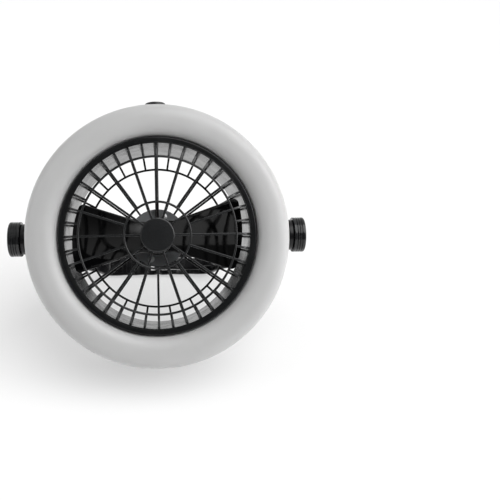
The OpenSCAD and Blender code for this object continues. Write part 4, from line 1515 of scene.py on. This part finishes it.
    def pin(self) -> Patch:
        """The pin across the strap, with domed ends."""
        half = self.strap_w / 2 + self.pin_proud
        return disc(self.pin_r, -half, half, self.pin_proud, 48).moved(0, self.pin_y, 0)

    def hook(self) -> Patch:
        """The hook: a boss round the pin, a waved shank, a curl and a rounded tip.

        The shank's middle line follows the grip's waves and then leans outwards by
        lean u^2 (3 - 2 u). Near the pin its faces are those of a circle of boss_r.

        Returns:
            Its surface in the handle's axes.
        """
        thick = self.hook_t / 2
        curl_r = self.throat_r + thick
        curl_x = self.hook_reach - curl_r - thick
        lean_from = self.wave_start + self.wave_len
        x = np.concatenate([-self.boss_r * np.cos(np.linspace(0, pi / 2, 24)),
                            np.linspace(0, curl_x, 150)[1:]])
        u = np.clip((x - lean_from) / (curl_x - lean_from), 0, 1)
        y = np.where(x > lean_from, self.length, self.grip_y(x)) + self.lean * u * u * (3 - 2 * u)
        offset = self.length - self.pin_y
        edge = np.sqrt(np.clip(self.boss_r ** 2 - x ** 2, 0, None))
        inner = np.where(x < 0, offset + edge,
                         self.inner_reach(x) - (self.strap_t - self.hook_t) / 2)
        outer = np.where(x < 0, edge - offset, np.maximum(thick, edge - offset))
        ray = rays(radians(90) - radians(self.turn) * np.linspace(0, 1, 90)[1:])
        centre = np.array([curl_x, self.length + self.lean - curl_r])
        end = radians(90 - self.turn)
        t = np.linspace(0, self.tip, 24)[1:, None]
        straight = centre + curl_r * ray[-1] + t * np.array([sin(end), -cos(end)])
        line = np.concatenate([np.stack([x, y], -1), centre + curl_r * ray, straight])
        outs = np.concatenate([normals(np.gradient(y, x) * (x > 0)), ray,
                               np.repeat(ray[-1:], len(t), 0)])
        past = (t[:, 0] - self.tip + self.blunt).clip(0) / self.blunt
        rest = np.concatenate([np.full(len(ray), thick),
                               thick * np.sqrt(np.clip(1 - past ** 2, 0, 1))])
        return self.swept(line, outs, np.concatenate([inner, rest]),
                          np.concatenate([outer, rest]), 0.0, (self.hook_w, self.hook_t, 1.0))


# --- studio ---


@dataclass
class Studio:
    """Floor, lights and camera."""

    place: Place
    focal_px: float = 655.0
    image_px: float = 500.0
    distance: float = 472.0
    aim_z: float = 50.0
    lift: float = -2.0
    centre_px: tuple = (157.5, 235.5)
    shift: float = 0.15
    floor_r: float = 15.0
    glow_share: float = 0.5
    dark_side: tuple = (0.0, -0.9, 0.43)
    dark_span: tuple = (0.3, 0.85)
    grey_levels: tuple = (0.6, 0.14)
    middle: tuple = (0.0, 0.0, 0.09)

    def build(self) -> None:
        """Builds everything round the fan."""
        self.floor()
        self.world()
        self.lights()
        self.camera()

    def floor(self) -> None:
        """A pale disc at the height of the object's lowest point.

        Rays from the camera, reflections and clear parts see half its own light, so that it
        reads white, and half its lit surface, which keeps the shadow.
        """
        disc = lathe(np.array([[r, 0.0] for r in (0.0, 0.3, 1.2, 4.0, self.floor_r)]), 128, False)
        mesh = bpy.data.meshes.new("studio_floor")
        mesh.from_pydata(disc.points + [0, 0, float(CAD_BOX[0][2])], [], disc.faces.tolist())
        weld(mesh)
        paper = bpy.data.materials.new("white paper sweep")
        tree = new_tree(paper)
        path = add_node(tree, "LightPath").outputs
        seen = path["Is Camera Ray"]
        for ray in ("Is Glossy Ray", "Is Transmission Ray"):
            seen = add_node(tree, "Math", {0: seen, 1: path[ray]}, operation="ADD",
                            use_clamp=True).outputs[0]
        mix = add_node(tree, "MixShader", {
            0: add_node(tree, "Math", {0: seen, 1: self.glow_share},
                        operation="MULTIPLY").outputs[0],
            1: add_node(tree, "BsdfDiffuse", {"Color": linear("#fcfcfc")}).outputs[0],
            2: add_node(tree, "Emission", {"Color": WHITE, "Strength": 1.0}).outputs[0]})
        add_node(tree, "OutputMaterial", {"Surface": mix.outputs[0]})
        mesh.materials.append(paper)
        shown("studio_floor", mesh)

    def world(self) -> None:
        """A grey surround, darker in front of the fan, that the camera sees as white.

        Its strength falls from the first of grey_levels to the second as the dot product of
        a ray's direction and the dark side's crosses dark_span.
        """
        world = bpy.context.scene.world = bpy.data.worlds.new("studio")
        tree = new_tree(world)
        facing = add_node(tree, "VectorMath", {
            0: add_node(tree, "TexCoord").outputs["Generated"], 1: self.dark_side},
            operation="DOT_PRODUCT").outputs["Value"]
        level = ranged(tree, facing, *self.dark_span, *self.grey_levels, "SMOOTHSTEP")
        grey, white = (add_node(tree, "Background", {"Color": WHITE, "Strength": strength})
                       for strength in (level, 1.0))
        mix = add_node(tree, "MixShader", {
            0: add_node(tree, "LightPath").outputs["Is Camera Ray"], 1: grey.outputs[0],
            2: white.outputs[0]})
        add_node(tree, "OutputWorld", {"Surface": mix.outputs[0]})

    def lights(self) -> None:
        """An overhead sun as wide as a sky, a little to the right, and two upright strips."""
        self.light("overhead light", "SUN", (0.5, -0.25, 1.0), 2.0, angle=radians(60))
        self.light("right strip", "AREA", (1.25, -0.3, 0.55), 6.0, shape="RECTANGLE", size=0.6,
                   size_y=1.1)
        self.light("left strip", "AREA", (-1.3, -0.5, 0.75), 2.0, shape="RECTANGLE", size=0.3,
                   size_y=1.1)

    def light(self, name: str, kind: str, at: tuple, power: float, **settings: Any) -> None:
        """A light at a place in metres that looks at the middle of the fan.

        Args:
            name: the light's name.
            kind: its type.
            at: where it is.
            power: its energy.
            settings: its other settings by name.
        """
        data = bpy.data.lights.new(name, kind)
        for key, value in {"energy": power, **settings}.items():
            setattr(data, key, value)
        shown(name, data, at, Vector(self.middle) - Vector(at))

    def camera(self) -> None:
        """The camera in front of the fan, a little below its axis."""
        a = radians(self.lift)
        direction = self.place.axes[2] * cos(a) + self.place.axes[1] * sin(a)
        aim = self.place.moved(0.0, 0.0, self.aim_z).origin
        half = self.image_px / 2
        data = bpy.data.cameras.new("camera")
        data.sensor_width = 36.0
        data.lens = data.sensor_width * self.focal_px / self.image_px
        data.clip_start, data.clip_end = 0.01, 60.0
        data.shift_x = self.shift
        data.shift_y = (self.centre_px[1] - half) / self.image_px
        left_over = half - self.centre_px[0] - self.shift * self.image_px
        yaw = float(np.arctan2(left_over, self.focal_px))
        look = Vector(-direction)
        side = look.cross(Vector((0, 0, 1))).normalized()
        turned = (Matrix.Rotation(-yaw, 4, side.cross(look)) @ look.to_4d()).to_3d()
        bpy.context.scene.camera = shown(
            "camera", data, Vector(aim + direction * self.distance * MM), turned)


def main() -> None:
    """Builds the fan and its studio in order."""
    logging.basicConfig(level=logging.INFO, format="%(message)s")
    bpy.context.scene.view_settings.view_transform = "Standard"
    fan = joint_place("rotor_spin", "rotor_spin")  # Y to the switch, Z = 0 at the back face
    handle = joint_place("handle_tilt", "hook_swing")  # Y to the grip, Z across the strap
    Studio(fan).build()
    for part in (Housing(fan), RingLight(fan), Grilles(fan), Drive(fan), Switch(fan),
                 Bail(handle, fan=fan)):
        part.build()
        log.info("%s done", type(part).__name__)


if __name__ == "__main__":
    main()
